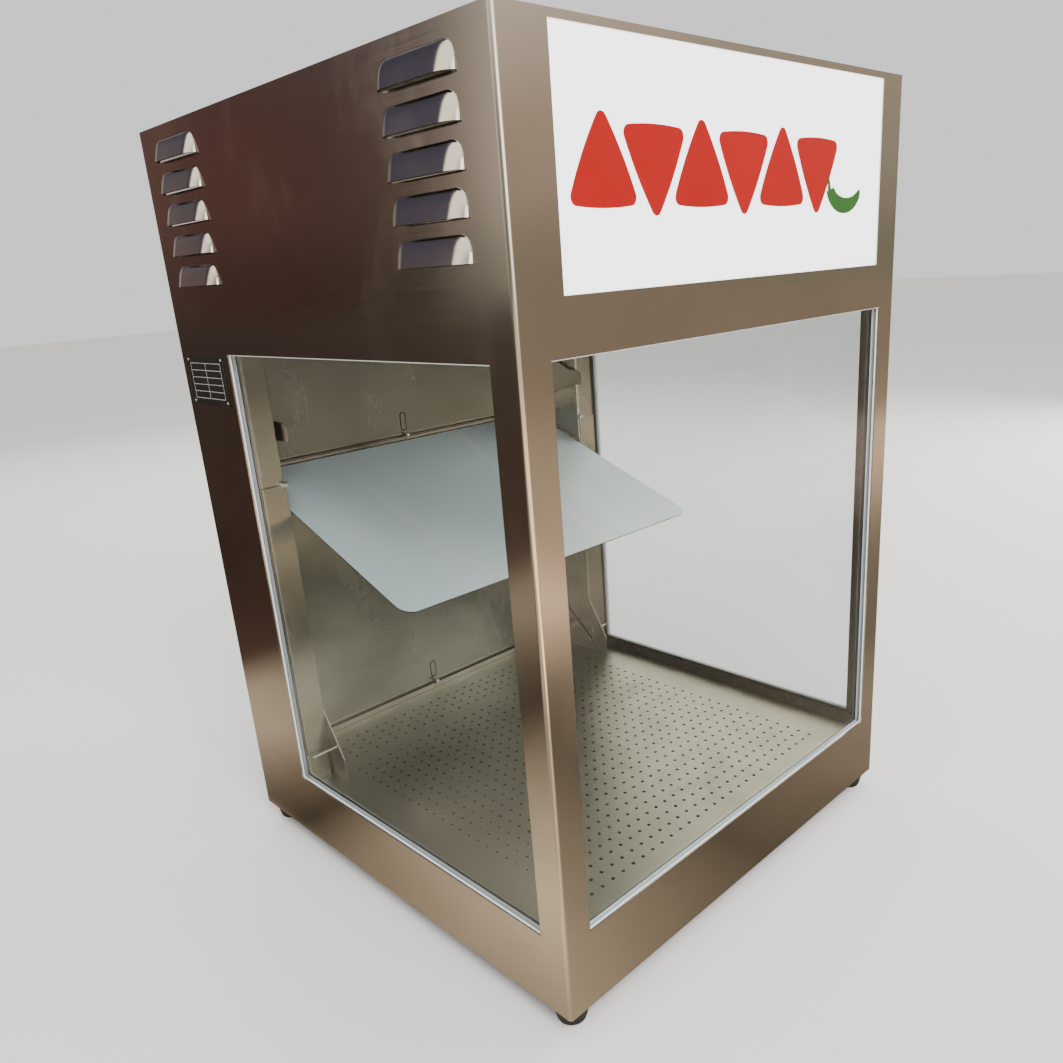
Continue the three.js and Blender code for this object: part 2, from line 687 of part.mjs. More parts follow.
const group = new THREE.Group();
group.add(cabinet);

export default group;
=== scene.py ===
"""A counter-top cabinet that keeps nacho chips warm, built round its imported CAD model."""
import math

import bmesh
import bpy
from mathutils import Matrix, Vector


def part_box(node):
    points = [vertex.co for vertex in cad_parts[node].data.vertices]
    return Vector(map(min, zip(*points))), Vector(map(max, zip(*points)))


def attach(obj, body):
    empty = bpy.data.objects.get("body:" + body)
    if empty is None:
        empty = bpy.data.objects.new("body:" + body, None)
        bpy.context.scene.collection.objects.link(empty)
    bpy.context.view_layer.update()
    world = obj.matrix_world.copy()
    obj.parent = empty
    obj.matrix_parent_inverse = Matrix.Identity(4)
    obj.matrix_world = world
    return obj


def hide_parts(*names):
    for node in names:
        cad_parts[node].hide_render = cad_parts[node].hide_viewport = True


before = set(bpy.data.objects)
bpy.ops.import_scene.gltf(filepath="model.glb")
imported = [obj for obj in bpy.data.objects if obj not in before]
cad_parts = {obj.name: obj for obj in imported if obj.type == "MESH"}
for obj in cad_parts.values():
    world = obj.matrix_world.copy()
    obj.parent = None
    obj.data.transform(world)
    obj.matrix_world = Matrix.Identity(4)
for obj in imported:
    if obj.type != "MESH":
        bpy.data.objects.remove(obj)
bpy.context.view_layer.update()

# --- the frame's own measures
MM = 0.001
X, Y, Z = 0, 1, 2
LEFT, FRONT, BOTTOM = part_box("front_panel")[0]


def span(node, axis):
    """A node's extent along one axis, in millimetres from the body's front lower left corner."""
    low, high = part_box(node)
    corner = (LEFT, FRONT, BOTTOM)[axis]
    return (low[axis] - corner) / MM, (high[axis] - corner) / MM


def extents(node):
    return [span(node, axis) for axis in (X, Y, Z)]


def middle(node, axis):
    low, high = span(node, axis)
    return (low + high) / 2


def at(x, y, z):
    """A point given in millimetres from the body's front lower left corner."""
    return Vector((LEFT + x * MM, FRONT + y * MM, BOTTOM + z * MM))


WIDTH = span("front_panel", X)[1]
HEIGHT = span("front_panel", Z)[1]
DEPTH = span("left_side_panel", Y)[1]
SHEET = 1.2
BEND = 3.0
GLASS_LAP = 8


def opening(glass, axis):
    """A window's cut-out, from the pane that laps behind it."""
    low, high = span(glass, axis)
    return low + GLASS_LAP, high - GLASS_LAP


FRONT_WINDOW = (*opening("front_glass", X), *opening("front_glass", Z))
SIDE_WINDOW = (*opening("left_glass", Y), *opening("left_glass", Z))
SIGN_LAP, SIGN_TOP_LAP = 4, 2
sign_x, sign_z = span("sign_panel", X), span("sign_panel", Z)
SIGN = (sign_x[0] + SIGN_LAP, sign_x[1] - SIGN_LAP, sign_z[0] + SIGN_LAP, sign_z[1] - SIGN_TOP_LAP)


# --- meshes
SHARP = math.radians(35)
ROUNDED = math.radians(40)


def new_object(name, points, faces, material, body="cabinet"):
    """A mesh piece from points in the cabinet's millimetres, riding on a body."""
    mesh = bpy.data.meshes.new(name)
    mesh.from_pydata([at(*p) for p in points], [], faces)
    if material:
        mesh.materials.append(material)
    mesh.validate()
    piece = bpy.data.objects.new(name, mesh)
    bpy.context.scene.collection.objects.link(piece)
    smooth(piece)
    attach(piece, body)
    return piece


def smooth(piece):
    piece.data.polygons.foreach_set("use_smooth", [True] * len(piece.data.polygons))
    piece.data.set_sharp_from_angle(angle=SHARP)


def close_up(piece):
    """Turns every face of a closed mesh outwards."""
    work = bmesh.new()
    work.from_mesh(piece.data)
    bmesh.ops.remove_doubles(work, verts=work.verts, dist=1e-6)
    bmesh.ops.recalc_face_normals(work, faces=work.faces)
    work.to_mesh(piece.data)
    work.free()
    smooth(piece)
    return piece


def soften(piece, radius, segments=2):
    """Rounds a piece's sharp edges by a radius in millimetres."""
    bevel = piece.modifiers.new("rounded_edges", "BEVEL")
    bevel.width = radius * MM
    bevel.segments = segments
    bevel.limit_method = "ANGLE"
    bevel.angle_limit = ROUNDED
    bevel.harden_normals = True


def bake(piece):
    """Makes a piece's modifiers part of its mesh, then marks its sharp edges again."""
    state = bpy.context.evaluated_depsgraph_get()
    mesh = bpy.data.meshes.new_from_object(piece.evaluated_get(state))
    piece.modifiers.clear()
    piece.data = mesh
    smooth(piece)


def even_out(piece):
    """Keeps the shading of wide flats flat beside small curves."""
    normals = piece.modifiers.new("flat_shading", "WEIGHTED_NORMAL")
    normals.mode = "FACE_AREA"
    normals.keep_sharp = True


def cut(piece, *tools):
    """Takes closed (points, faces) tools out of a closed piece."""
    for points, faces in tools:
        tool = close_up(new_object("tool", points, faces, None))
        boolean = piece.modifiers.new("cut", "BOOLEAN")
        boolean.operation = "DIFFERENCE"
        boolean.object = tool
        boolean.solver = "EXACT"
        bake(piece)
        bpy.data.objects.remove(tool)


def two_tone(piece, second, chosen):
    """Paints shade on the faces that a test picks, with a second, darker material."""
    piece.data.materials.append(second)
    for polygon in piece.data.polygons:
        polygon.material_index = int(chosen(polygon))


def detail(name, shape, material, slot, body="cabinet", radius=0.0, node=None):
    """A closed piece with its body, rounded edges and the CAD node it stands for. Its slot argument is not
    used.
    """
    piece = close_up(new_object(name, *shape, material, body))
    if radius:
        soften(piece, radius)
    if node:
        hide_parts(node)
    return piece


def mirror_x(points, faces):
    return [(WIDTH - x, y, z) for x, y, z in points], [tuple(reversed(f)) for f in faces]


def sides():
    """Each side's name, and what turns a shape made for the left into that side's."""
    yield "left", lambda points, faces: (points, faces)
    yield "right", mirror_x


def grid_surface(columns, rows, place, is_open=None):
    """One skin of quads over a grid, apart from the open cells. place(column, row, upper) gives
    the point; upper tells whether it is the lower edge of the cell above it."""
    points, index, faces = [], {}, []

    def vertex(column, row, upper):
        point = place(column, row, upper)
        key = tuple(round(c, 4) for c in point)
        if key not in index:
            index[key] = len(points)
            points.append(point)
        return index[key]

    for c0, c1 in zip(columns, columns[1:]):
        for r0, r1 in zip(rows, rows[1:]):
            if is_open and is_open(c0, c1, r0, r1):
                continue
            low = (vertex(c0, r0, True), vertex(c1, r0, True))
            faces.append((*low, vertex(c1, r1, False), vertex(c0, r1, False)))
    return points, faces


def steps(start, stop, count):
    return [start + (stop - start) * i / count for i in range(count + 1)]


def merged(*lists):
    """Sorted cut lines, with near repeats dropped."""
    cuts = sorted(value for values in lists for value in values)
    kept = cuts[:1]
    for value in cuts[1:]:
        if value - kept[-1] > 1e-3:
            kept.append(value)
    return kept


def prism(outline, axis, start, stop):
    """A closed bar: an outline in the two other axes, in their order, carried along an axis."""

    def point(u, v, w):
        return {X: (w, u, v), Y: (u, w, v), Z: (u, v, w)}[axis]

    count = len(outline)
    points = [point(u, v, w) for w in (start, stop) for u, v in outline]
    faces = [tuple(range(count)), tuple(range(count, 2 * count))]
    for i in range(count):
        j = (i + 1) % count
        faces.append((i, j, count + j, count + i))
    return points, faces


def block(x0, x1, y0, y1, z0, z1):
    return prism([(x0, y0), (x1, y0), (x1, y1), (x0, y1)], Z, z0, z1)


def lathe(profile, centre, axis, segments=32, hollow=False, ribs=0, rib_depth=0.0):
    """A turned solid from (radius, distance along the axis) points. A cap closes each end, or the
    last ring meets the first when it is hollow. Ribs make the wall wavy."""
    points, faces = [], []
    for radius, along in profile:
        for i in range(segments):
            turn = 2 * math.pi * i / segments
            reach = radius - rib_depth * (0.5 - 0.5 * math.cos(ribs * turn))
            u, v = reach * math.cos(turn), reach * math.sin(turn)
            local = {X: (along, u, v), Y: (u, along, v), Z: (u, v, along)}[axis]
            points.append(tuple(c + d for c, d in zip(centre, local)))
    rings = list(range(len(profile)))
    for ring, after in zip(rings, rings[1:] + (rings[:1] if hollow else [])):
        low, high = ring * segments, after * segments
        for i in range(segments):
            j = (i + 1) % segments
            faces.append((low + i, low + j, high + j, high + i))
    if not hollow:
        faces.append(tuple(range(segments)))
        faces.append(tuple(range(len(points) - segments, len(points))))
    return points, faces


def tube(inner, outer, start, stop, centre, axis, segments=32):
    profile = [(inner, start), (outer, start), (outer, stop), (inner, stop)]
    return lathe(profile, centre, axis, segments, hollow=True)


def arc(cx, cy, radius, start, stop, count):
    """Points of an arc, in degrees."""
    turns = [math.radians(a) for a in steps(start, stop, count)]
    return [(cx + radius * math.cos(t), cy + radius * math.sin(t)) for t in turns]


def rounded_rectangle(x0, x1, y0, y1, radius, count=6):
    return (
        arc(x1 - radius, y1 - radius, radius, 0, 90, count)
        + arc(x0 + radius, y1 - radius, radius, 90, 180, count)
        + arc(x0 + radius, y0 + radius, radius, 180, 270, count)
        + arc(x1 - radius, y0 + radius, radius, 270, 360, count)
    )


def rounded_outline(corners, radius, count=4):
    """A polygon with every corner rounded, as far as its sides allow."""
    outline = []
    for i, (x, y) in enumerate(corners):
        before, after = Vector(corners[i - 1]), Vector(corners[(i + 1) % len(corners)])
        here = Vector((x, y))
        into, out = (before - here), (after - here)
        half = into.angle(out) / 2
        cut_back = min(radius / math.tan(half), 0.45 * into.length, 0.45 * out.length)
        start, stop = here + into.normalized() * cut_back, here + out.normalized() * cut_back
        for t in steps(0, 1, count):
            bend = start.lerp(here, t).lerp(here.lerp(stop, t), t)
            outline.append((bend.x, bend.y))
    return outline


def trough(low, high, bottom, top, wall):
    """The outline of a channel that is open at the top."""
    left, right, floor = low + wall, high - wall, bottom + wall
    outside = [(low, top), (low, bottom), (high, bottom), (high, top)]
    return outside + [(right, top), (right, floor), (left, floor), (left, top)]


def obround(cx, cz, width, tall, count=8):
    radius = width / 2
    rise = tall / 2 - radius
    return arc(cx, cz + rise, radius, 0, 180, count) + arc(cx, cz - rise, radius, 180, 360, count)


# --- materials
def shade(colour, factor):
    return tuple(c * factor for c in colour)


class Tree:
    """A shader node tree, with short calls for what the finishes and the room share."""

    MIX_FACTOR, MIX_A, MIX_B, MIX_RESULT = 0, 6, 7, 2

    def __init__(self, tree):
        self.tree = tree

    def connect(self, socket, value):
        """Links another node's output to a socket, or sets the socket's own value."""
        if isinstance(value, bpy.types.NodeSocket):
            self.tree.links.new(value, socket)
        else:
            socket.default_value = (*value, 1.0) if socket.type == "RGBA" else value

    def add(self, kind, **sockets):
        node = self.tree.nodes.new(kind)
        for name, value in sockets.items():
            self.connect(node.inputs[name.replace("_", " ")], value)
        return node

    def maths(self, operation, *values):
        node = self.add("ShaderNodeMath")
        node.operation = operation
        for socket, value in zip(node.inputs, values):
            self.connect(socket, value)
        return node.outputs[0]

    def ramp(self, value, low, high, start=0.0, stop=1.0):
        """Maps start..stop of a value to low..high, clamped."""
        ends = {"From Min": start, "From Max": stop, "To Min": low, "To Max": high}
        node = self.add("ShaderNodeMapRange", Value=value, **ends)
        node.clamp = True
        return node.outputs["Result"]

    def mix(self, factor, a, b, blend="MIX"):
        node = self.add("ShaderNodeMix")
        node.data_type = "RGBA"
        node.blend_type = blend
        self.connect(node.inputs[self.MIX_FACTOR], factor)
        self.connect(node.inputs[self.MIX_A], a)
        self.connect(node.inputs[self.MIX_B], b)
        return node.outputs[self.MIX_RESULT]

    def multiply(self, a, b):
        return self.mix(1.0, a, b, "MULTIPLY")

    def colour_ramp(self, value, stops):
        """Colours along a value, from {place: (red, green, blue)} in rising order."""
        node = self.add("ShaderNodeValToRGB")
        self.connect(node.inputs[0], value)
        elements = node.color_ramp.elements
        while len(elements) < len(stops):
            elements.new(0.5)
        for element, (place, colour) in zip(elements, stops.items()):
            element.position = place
            element.color = (*colour, 1.0)
        return node.outputs[0]

    def split_by_ray(self, seen, mirrored):
        """One colour for the eye and for scattered light, another for what polished metal mirrors."""
        path = self.add("ShaderNodeLightPath")
        return self.mix(path.outputs["Is Glossy Ray"], seen, mirrored)


class Finish(Tree):
    """A material round a Principled shader."""

    def __init__(self, name):
        self.material = bpy.data.materials.new(name)
        self.material.use_nodes = True
        super().__init__(self.material.node_tree)
        self.shader = self.tree.nodes["Principled BSDF"]
        self.output = self.tree.nodes["Material Output"]

    def coordinates(self, scale):
        where = self.add("ShaderNodeTexCoord").outputs["Object"]
        return self.add("ShaderNodeMapping", Vector=where, Scale=scale).outputs["Vector"]

    def noise(self, scale, stretch=(1, 1, 1), detail=3.0, roughness=0.55, distortion=0.0):
        look = {"Scale": scale, "Detail": detail, "Roughness": roughness, "Distortion": distortion}
        return self.add("ShaderNodeTexNoise", Vector=self.coordinates(stretch), **look).outputs["Fac"]

    def set(self, **sockets):
        for name, value in sockets.items():
            self.connect(self.shader.inputs[name.replace("_", " ")], value)

    def bump(self, height, strength, distance):
        node = self.add("ShaderNodeBump", Height=height, Strength=strength, Distance=distance)
        self.set(Normal=node.outputs["Normal"])


VERTICAL_GRAIN, FLOOR_GRAIN, TOP_GRAIN = (9, 9, 2600), (5, 1200, 5), (7, 1500, 7)


def steel(name, colour, roughness, grain=VERTICAL_GRAIN, anisotropy=0.0, marks=0.5, mottle_and_painted_sheen=0.07):
    """Brushed sheet: fine lines across the grain, slow patches of tone, wiped smudges. Strong patches
    paint cloudy reflections. The highlights of anisotropic sheet are drawn out round the upright axis."""
    n = Finish(name)
    lines = n.noise(1.0, grain, detail=2.0, roughness=0.7)
    patches = n.noise(5.0, (1, 1, 1.6), detail=3.0)
    smudges = n.noise(16.0, (1, 1, 0.5), detail=5.0, roughness=0.62, distortion=0.6)
    dull, lively = shade(colour, 1 - mottle_and_painted_sheen), shade(colour, 1 + mottle_and_painted_sheen)
    tone = n.mix(n.ramp(patches, 0, 1, 0.35, 0.65), dull, lively)
    tone = n.mix(n.ramp(lines, 0, 0.3, 0.35, 0.75), tone, shade(colour, 0.93))
    wiped = n.ramp(smudges, 0, 0.12 * marks, 0.5, 0.72)
    grained = n.ramp(lines, -0.02, 0.03, 0.3, 0.7)
    rough = n.maths("ADD", n.maths("ADD", wiped, grained), roughness)
    n.set(Base_Color=tone, Metallic=1.0, Roughness=rough, Anisotropic=anisotropy)
    if anisotropy:
        around = n.add("ShaderNodeTangent")
        around.direction_type = "RADIAL"
        around.axis = "Z"
        n.set(Tangent=around.outputs["Tangent"])
    n.bump(lines, 0.05, 0.00002)
    return n.material


OUTER = steel("brushed_outer_steel", (0.54, 0.495, 0.435), 0.14, anisotropy=0.35)
# A darker copy of the steel for the inside of the cabinet: painted shade. Its strong cloudy patches are
# painted reflections.
SHADED_INNER_STEEL = steel("shaded_inner_steel", (0.235, 0.255, 0.24), 0.22, anisotropy=0.3, marks=1.0, mottle_and_painted_sheen=0.3)
# A lighter copy of the inner steel for the duct posts and their covers: painted light.
LIT_DUCT_STEEL = steel("lit_duct_steel", (0.40, 0.41, 0.375), 0.2, anisotropy=0.3, marks=0.8, mottle_and_painted_sheen=0.25)
# A lighter copy of the inner steel for cheeks, guards, hems, clips, the divider and the sill: painted light
# and highlights.
LIT_INNER_STEEL = steel("lit_inner_steel", (0.38, 0.38, 0.355), 0.16, anisotropy=0.2, marks=1.0, mottle_and_painted_sheen=0.12)
# Near-black steel for the window rails, channel inner legs and baffle edges: painted shade, for the dark
# that they mirror.
SHADED_RAIL_STEEL = steel("shaded_rail_steel", (0.055, 0.054, 0.047), 0.25, marks=1.0)
FLOOR_STEEL = steel("floor_steel", (0.58, 0.55, 0.46), 0.34, FLOOR_GRAIN, marks=1.2, mottle_and_painted_sheen=0.12)
TOP_STEEL = steel("brushed_top_steel", (0.37, 0.35, 0.315), 0.26, TOP_GRAIN, marks=1.4, mottle_and_painted_sheen=0.16)
BRIGHT = steel("bright_steel", (0.72, 0.72, 0.70), 0.16, grain=(300, 300, 300))


def filmed_steel():
    """Sheet under a pale protective film: faint lengthwise creases, cloudy patches."""
    n = Finish("filmed_baffle_steel")
    cloud = n.noise(7.0, (1, 0.5, 1), detail=4.0)
    creases = n.noise(24.0, (1.0, 0.12, 0.12), detail=3.0, distortion=0.8)
    fine = n.noise(260.0, detail=2.0)
    streak = n.noise(3.0, (9.0, 0.25, 0.25), detail=2.0)
    pale, deep = (0.84, 0.97, 1.0), (0.74, 0.87, 0.91)
    tone = n.mix(n.ramp(cloud, 0, 1, 0.35, 0.68), deep, pale)
    tone = n.mix(n.ramp(creases, 0, 0.3, 0.58, 0.74), tone, (0.88, 0.94, 0.94))
    tone = n.mix(n.ramp(streak, 0, 0.55, 0.6, 0.7), tone, (0.92, 0.97, 0.97))
    rough = n.maths("ADD", n.ramp(creases, 0.0, 0.1, 0.4, 0.7), 0.33)
    n.set(Base_Color=tone, Metallic=0.25, Roughness=rough, Coat_Weight=0.15, Coat_Roughness=0.25)
    n.bump(n.maths("ADD", creases, n.maths("MULTIPLY", fine, 0.06)), 0.3, 0.0005)
    return n.material


GLASS_SQUARE_ON, GLASS_FALLOFF = 0.04, 5.0


def window_glass():
    """Clear pane: what lies behind passes straight through, and its faces mirror by angle."""
    n = Finish("clear_window_glass")
    smears = n.ramp(n.noise(9.0, (1, 1, 0.35), detail=4.0, distortion=0.7), 0.0, 0.07, 0.5, 0.8)
    clear = n.add("ShaderNodeBsdfTransparent", Color=(0.955, 0.97, 0.965))
    gloss = n.add("ShaderNodeBsdfGlossy", Color=(0.95, 0.97, 1.0), Roughness=smears)
    slant = n.maths("POWER", n.add("ShaderNodeLayerWeight", Blend=0.5).outputs["Facing"], GLASS_FALLOFF)
    mirrored = n.maths("MULTIPLY_ADD", slant, 1 - GLASS_SQUARE_ON, GLASS_SQUARE_ON)
    blend = n.add("ShaderNodeMixShader")
    for socket, value in zip(blend.inputs, (mirrored, clear.outputs[0], gloss.outputs[0])):
        n.connect(socket, value)
    n.connect(n.output.inputs["Surface"], blend.outputs[0])
    n.tree.nodes.remove(n.shader)
    return n.material


def plain(name, colour, roughness, metallic=0.0, speck=0.08, scale=400.0, bump=0.08, **sockets):
    """A moulded or painted finish: fine speckle in tone, roughness and height."""
    n = Finish(name)
    fine = n.noise(scale, detail=3.0)
    slow = n.noise(14.0, detail=3.0)
    tone = n.mix(n.ramp(slow, 0, 1, 0.3, 0.7), shade(colour, 1 - speck), shade(colour, 1 + speck * 0.5))
    tone = n.mix(n.ramp(fine, 0, 0.5, 0.4, 0.8), tone, shade(colour, 1 - speck))
    rough = n.maths("ADD", n.ramp(slow, -0.05, 0.06, 0.3, 0.7), roughness)
    n.set(Base_Color=tone, Metallic=metallic, Roughness=rough, **sockets)
    n.bump(fine, bump, 0.0001)
    return n.material


def galvanised():
    """Zinc-coated sheet, with its spangle of flat crystals."""
    n = Finish("zinc_coated_sheet")
    spangle = n.add("ShaderNodeTexVoronoi", Vector=n.coordinates((1, 1, 1)), Scale=140.0)
    grain = n.noise(60.0, detail=3.0)
    shades = n.ramp(spangle.outputs["Color"], 0, 1)
    tone = n.mix(shades, (0.40, 0.41, 0.42), (0.56, 0.57, 0.58))
    rough = n.maths("ADD", n.ramp(grain, 0, 0.15, 0.3, 0.7), 0.38)
    n.set(Base_Color=tone, Metallic=1.0, Roughness=rough)
    n.bump(grain, 0.08, 0.0002)
    return n.material


FILMED = filmed_steel()
GLASS = window_glass()
ZINC = galvanised()
CHANNEL_WHITE = plain("white_glazing_channel", (0.86, 0.89, 0.93), 0.35, speck=0.05)
GLOW = {"Emission Color": (0.97, 0.985, 1.0), "Emission Strength": 1.6}
SIGN_WHITE = plain("opal_sign_sheet", (0.93, 0.935, 0.945), 0.32, speck=0.02, scale=900.0, bump=0.05, **GLOW)
SIGN_RED = plain("sign_red", (0.34, 0.003, 0.002), 0.4, speck=0.06, scale=600.0, Specular_IOR_Level=0.3)
SIGN_GREEN = plain("sign_green", (0.022, 0.11, 0.014), 0.35, speck=0.1, scale=600.0)
PLATE_MARK = plain("plate_mark", (0.55, 0.53, 0.49), 0.4, metallic=0.3)
DARK_PLATE = plain("dark_plate", (0.035, 0.032, 0.03), 0.35, metallic=0.6, speck=0.2)
RUBBER = plain("black_rubber", (0.018, 0.018, 0.018), 0.75, speck=0.25, bump=0.3)
BLACK = plain("black_plastic", (0.022, 0.022, 0.024), 0.42, speck=0.2, bump=0.2)
WHITE_MARK = plain("white_mark", (0.75, 0.75, 0.73), 0.5)
HEATER = plain("heater_sheath", (0.10, 0.085, 0.075), 0.5, metallic=0.8, speck=0.3)
LAMP = plain("opal_lamp", (0.9, 0.88, 0.8), 0.25, speck=0.03)

# --- camera
CAMERA_PLACE = (-352.5, -392.8, 528.2)
HEADING, PITCH, ROLL = math.radians(43.64), math.radians(-18.44), math.radians(-4.0)
LENS, SENSOR = 30.65, 36.0
SHIFT = (-0.028, 0.0357)


def add_camera():
    level = math.cos(PITCH)
    ahead = Vector((math.sin(HEADING) * level, math.cos(HEADING) * level, math.sin(PITCH)))
    right = ahead.cross(Vector((0, 0, 1))).normalized()
    up = right.cross(ahead)
    rolled_right = right * math.cos(ROLL) + up * math.sin(ROLL)
    rolled_up = up * math.cos(ROLL) - right * math.sin(ROLL)
    turn = Matrix((rolled_right, rolled_up, -ahead)).transposed().to_4x4()
    data = bpy.data.cameras.new("camera")
    data.lens = LENS
    data.sensor_width = SENSOR
    data.shift_x, data.shift_y = SHIFT
    data.clip_end = 60
    camera = bpy.data.objects.new("camera", data)
    camera.matrix_world = Matrix.Translation(at(*CAMERA_PLACE)) @ turn
    bpy.context.scene.collection.objects.link(camera)
    bpy.context.scene.camera = camera


# --- stage and light
FLOOR_SEEN = (0.82, 0.81, 0.79)
FLOOR_REACH = 14.0
BOARD_TONE = (0.42, 0.345, 0.25)
# Painted light and shade on the mirrored floor: how bright each strip is, by its place over the strip's
# width.
FLOOR_LIGHT_BANDS = {
    0.0: 1.0, 0.08: 1.1, 0.16: 0.7, 0.25: 0.90, 0.335: 1.75, 0.385: 0.95,
    0.445: 0.55, 0.525: 0.20, 0.625: 0.36, 0.71: 0.45, 0.80: 0.25, 1.0: 0.25,
}
# Painted pools of light on the mirrored floor, in front of the cabinet and behind it; the left shadow is
# painted shade.
LIGHT_POOL_IN_FRONT = {0.0: (2.9, 2.7, 2.6), 0.20: (3.8, 3.3, 3.2), 0.27: (1.0, 1.0, 1.0)}
LIGHT_POOL_BEHIND = {0.53: (1.0, 1.0, 1.0), 0.60: (2.6, 2.6, 2.6)}
LEFT_SHADOW = {
    0.467: (1.0, 1.0, 1.0),
    0.527: (0.55, 0.55, 0.55),
    0.56: (0.10, 0.095, 0.09),
    0.587: (0.25, 0.24, 0.23),
    0.633: (0.60, 0.60, 0.60),
    0.68: (0.55, 0.56, 0.57),
    0.72: (0.1, 0.06, 0.055),
    0.93: (0.06, 0.035, 0.03),
}


def add_stage():
    """A pale floor. Its mirror image in the steel is a warmer and darker one, with painted light in
    bands and pools and a painted shadow to the rear left.
    """
    mesh = bpy.data.meshes.new("studio_floor")
    ends = (-FLOOR_REACH, FLOOR_REACH)
    mesh.from_pydata([(x, y, 0) for y in ends for x in ends], [], [(0, 1, 3, 2)])
    n = Finish("studio_floor")
    where = n.add("ShaderNodeSeparateXYZ", Vector=n.add("ShaderNodeTexCoord").outputs["Object"])
    across = n.ramp(where.outputs["X"], 0, 1, -1.0, 1.0)
    rearwards = n.ramp(where.outputs["Y"], 0, 1, -1.5, 1.5)
    leftness = n.ramp(where.outputs["X"], 1, 0, -0.245, -0.20)
    tones = {place: [c * bright for c in BOARD_TONE] for place, bright in FLOOR_LIGHT_BANDS.items()}
    painted_floor_light = n.multiply(n.colour_ramp(across, tones), n.colour_ramp(rearwards, LIGHT_POOL_IN_FRONT))
    behind, shadow = n.colour_ramp(rearwards, LIGHT_POOL_BEHIND), n.colour_ramp(rearwards, LEFT_SHADOW)
    mirrored = n.multiply(painted_floor_light, n.mix(leftness, behind, shadow))
    tone = n.split_by_ray(FLOOR_SEEN, mirrored)
    n.set(Base_Color=tone, Roughness=0.7, Specular_IOR_Level=0.15)
    mesh.materials.append(n.material)
    floor = bpy.data.objects.new("studio_floor", mesh)
    bpy.context.scene.collection.objects.link(floor)


# The mirrored room by bearing, in degrees: 0 is straight in front of the cabinet, 90 its left.
EYE_LEVEL = {
    -180: (0.55, 0.51, 0.45),
    -120: (0.75, 0.73, 0.67),
    -64: (0.50, 0.42, 0.33),
    -40: (0.64, 0.49, 0.38),
    -10: (0.85, 0.75, 0.65),
    -2: (4.2, 4.1, 3.8),
    34: (4.4, 4.3, 4.0),
    44: (0.8, 0.75, 0.65),
    82: (0.30, 0.25, 0.20),
    130: (1.05, 0.94, 0.80),
    138.5: (0.95, 0.84, 0.72),
    141: (0.09, 0.062, 0.052),
    152: (0.125, 0.052, 0.046),
    158: (0.15, 0.065, 0.055),
    167: (0.45, 0.41, 0.36),
}
OVERHEAD = {
    -180: (0.70, 0.68, 0.66),
    -150: (1.7, 1.62, 1.4),
    -110: (1.7, 1.62, 1.4),
    -64: (0.9, 0.8, 0.68),
    -30: (2.0, 1.9, 1.7),
    60: (2.2, 2.1, 1.9),
    130: (2.3, 2.15, 1.85),
    140: (0.14, 0.13, 0.18),
    160: (0.085, 0.08, 0.13),
}
# By height: 0 is straight down, 0.5 the horizon, 1 straight up.
OVERHEAD_FROM, OVERHEAD_FULL = 0.57, 0.70
NEAR_FLOOR = {0.44: (0.45, 0.50, 0.47), 0.505: (0.60, 0.66, 0.63), 0.535: (1.0, 1.0, 1.0)}


def add_world():
    """Pale all round. What the steel mirrors is a room: bright in front, dark to the rear left."""
    world = bpy.data.worlds.new("studio")
    world.use_nodes = True
    bpy.context.scene.world = world
    n = Tree(world.node_tree)
    way = n.add("ShaderNodeSeparateXYZ", Vector=n.add("ShaderNodeTexCoord").outputs["Generated"])
    toward_left = n.maths("MULTIPLY", way.outputs["X"], -1.0)
    ahead = n.maths("MULTIPLY", way.outputs["Y"], -1.0)
    bearing = n.maths("ARCTAN2", toward_left, ahead)
    round_room = n.maths("MULTIPLY_ADD", bearing, 0.5 / math.pi, 0.5)

    def by_bearing(stops):
        places = {degrees / 360 + 0.5: colour for degrees, colour in stops.items()}
        return n.colour_ramp(round_room, places)

    height = n.maths("MULTIPLY_ADD", way.outputs["Z"], 0.5, 0.5)
    raised = n.ramp(height, 0, 1, OVERHEAD_FROM, OVERHEAD_FULL)
    room = n.mix(raised, by_bearing(EYE_LEVEL), by_bearing(OVERHEAD))
    mirrored = n.multiply(room, n.colour_ramp(height, NEAR_FLOOR))
    background = n.tree.nodes["Background"]
    n.connect(background.inputs["Color"], n.split_by_ray((1.0, 1.0, 1.0), mirrored))
    background.inputs["Strength"].default_value = 1.0


LIT_POINT = Vector((0, 0, 0.35))


def add_light(name, place, size, power, colour):
    """A softbox aimed at the cabinet. Polished metal doesn't mirror it."""
    data = bpy.data.lights.new(name, "AREA")
    data.shape = "RECTANGLE"
    data.size, data.size_y = size
    data.energy = power
    data.color = colour
    lamp = bpy.data.objects.new(name, data)
    lamp.location = place
    lamp.rotation_euler = (LIT_POINT - Vector(place)).to_track_quat("-Z", "Y").to_euler()
    lamp.visible_glossy = False
    bpy.context.scene.collection.objects.link(lamp)


def add_lights():
    add_light("key_softbox", (-0.9, -2.0, 2.3), (1.6, 1.2), 95, (1.0, 0.98, 0.96))
    add_light("right_fill", (2.4, -0.6, 1.0), (1.4, 1.6), 62, (1.0, 0.99, 0.96))
    add_light("rear_fill", (0.8, 2.6, 1.8), (2.0, 1.4), 34, (0.97, 0.98, 1.0))
    add_light("left_fill", (-2.8, 0.6, 1.0), (0.7, 1.6), 8, (1.0, 0.96, 0.92))


# --- outer sheets
LOUVRE_LENGTH, LOUVRE_RISE, LOUVRE_REACH = 72.4, 16.4, 6.8
LOUVRE_END = 12.6
LOUVRE_ROWS, LOUVRE_PITCH, LOWEST_LIP = 5, 25, 533.4
LOUVRE_STARTS = (32.4, 361)
LOUVRE_SQUARENESS = 3.0
LOUVRE_ROUNDNESS = 0.62
LOUVRE_BROW = 0.3
BROW_TIGHTNESS = 8
ON_THE_LIP = 1e-6
FLAT_MARGIN = 0.8
REAR_FLANGE = 14


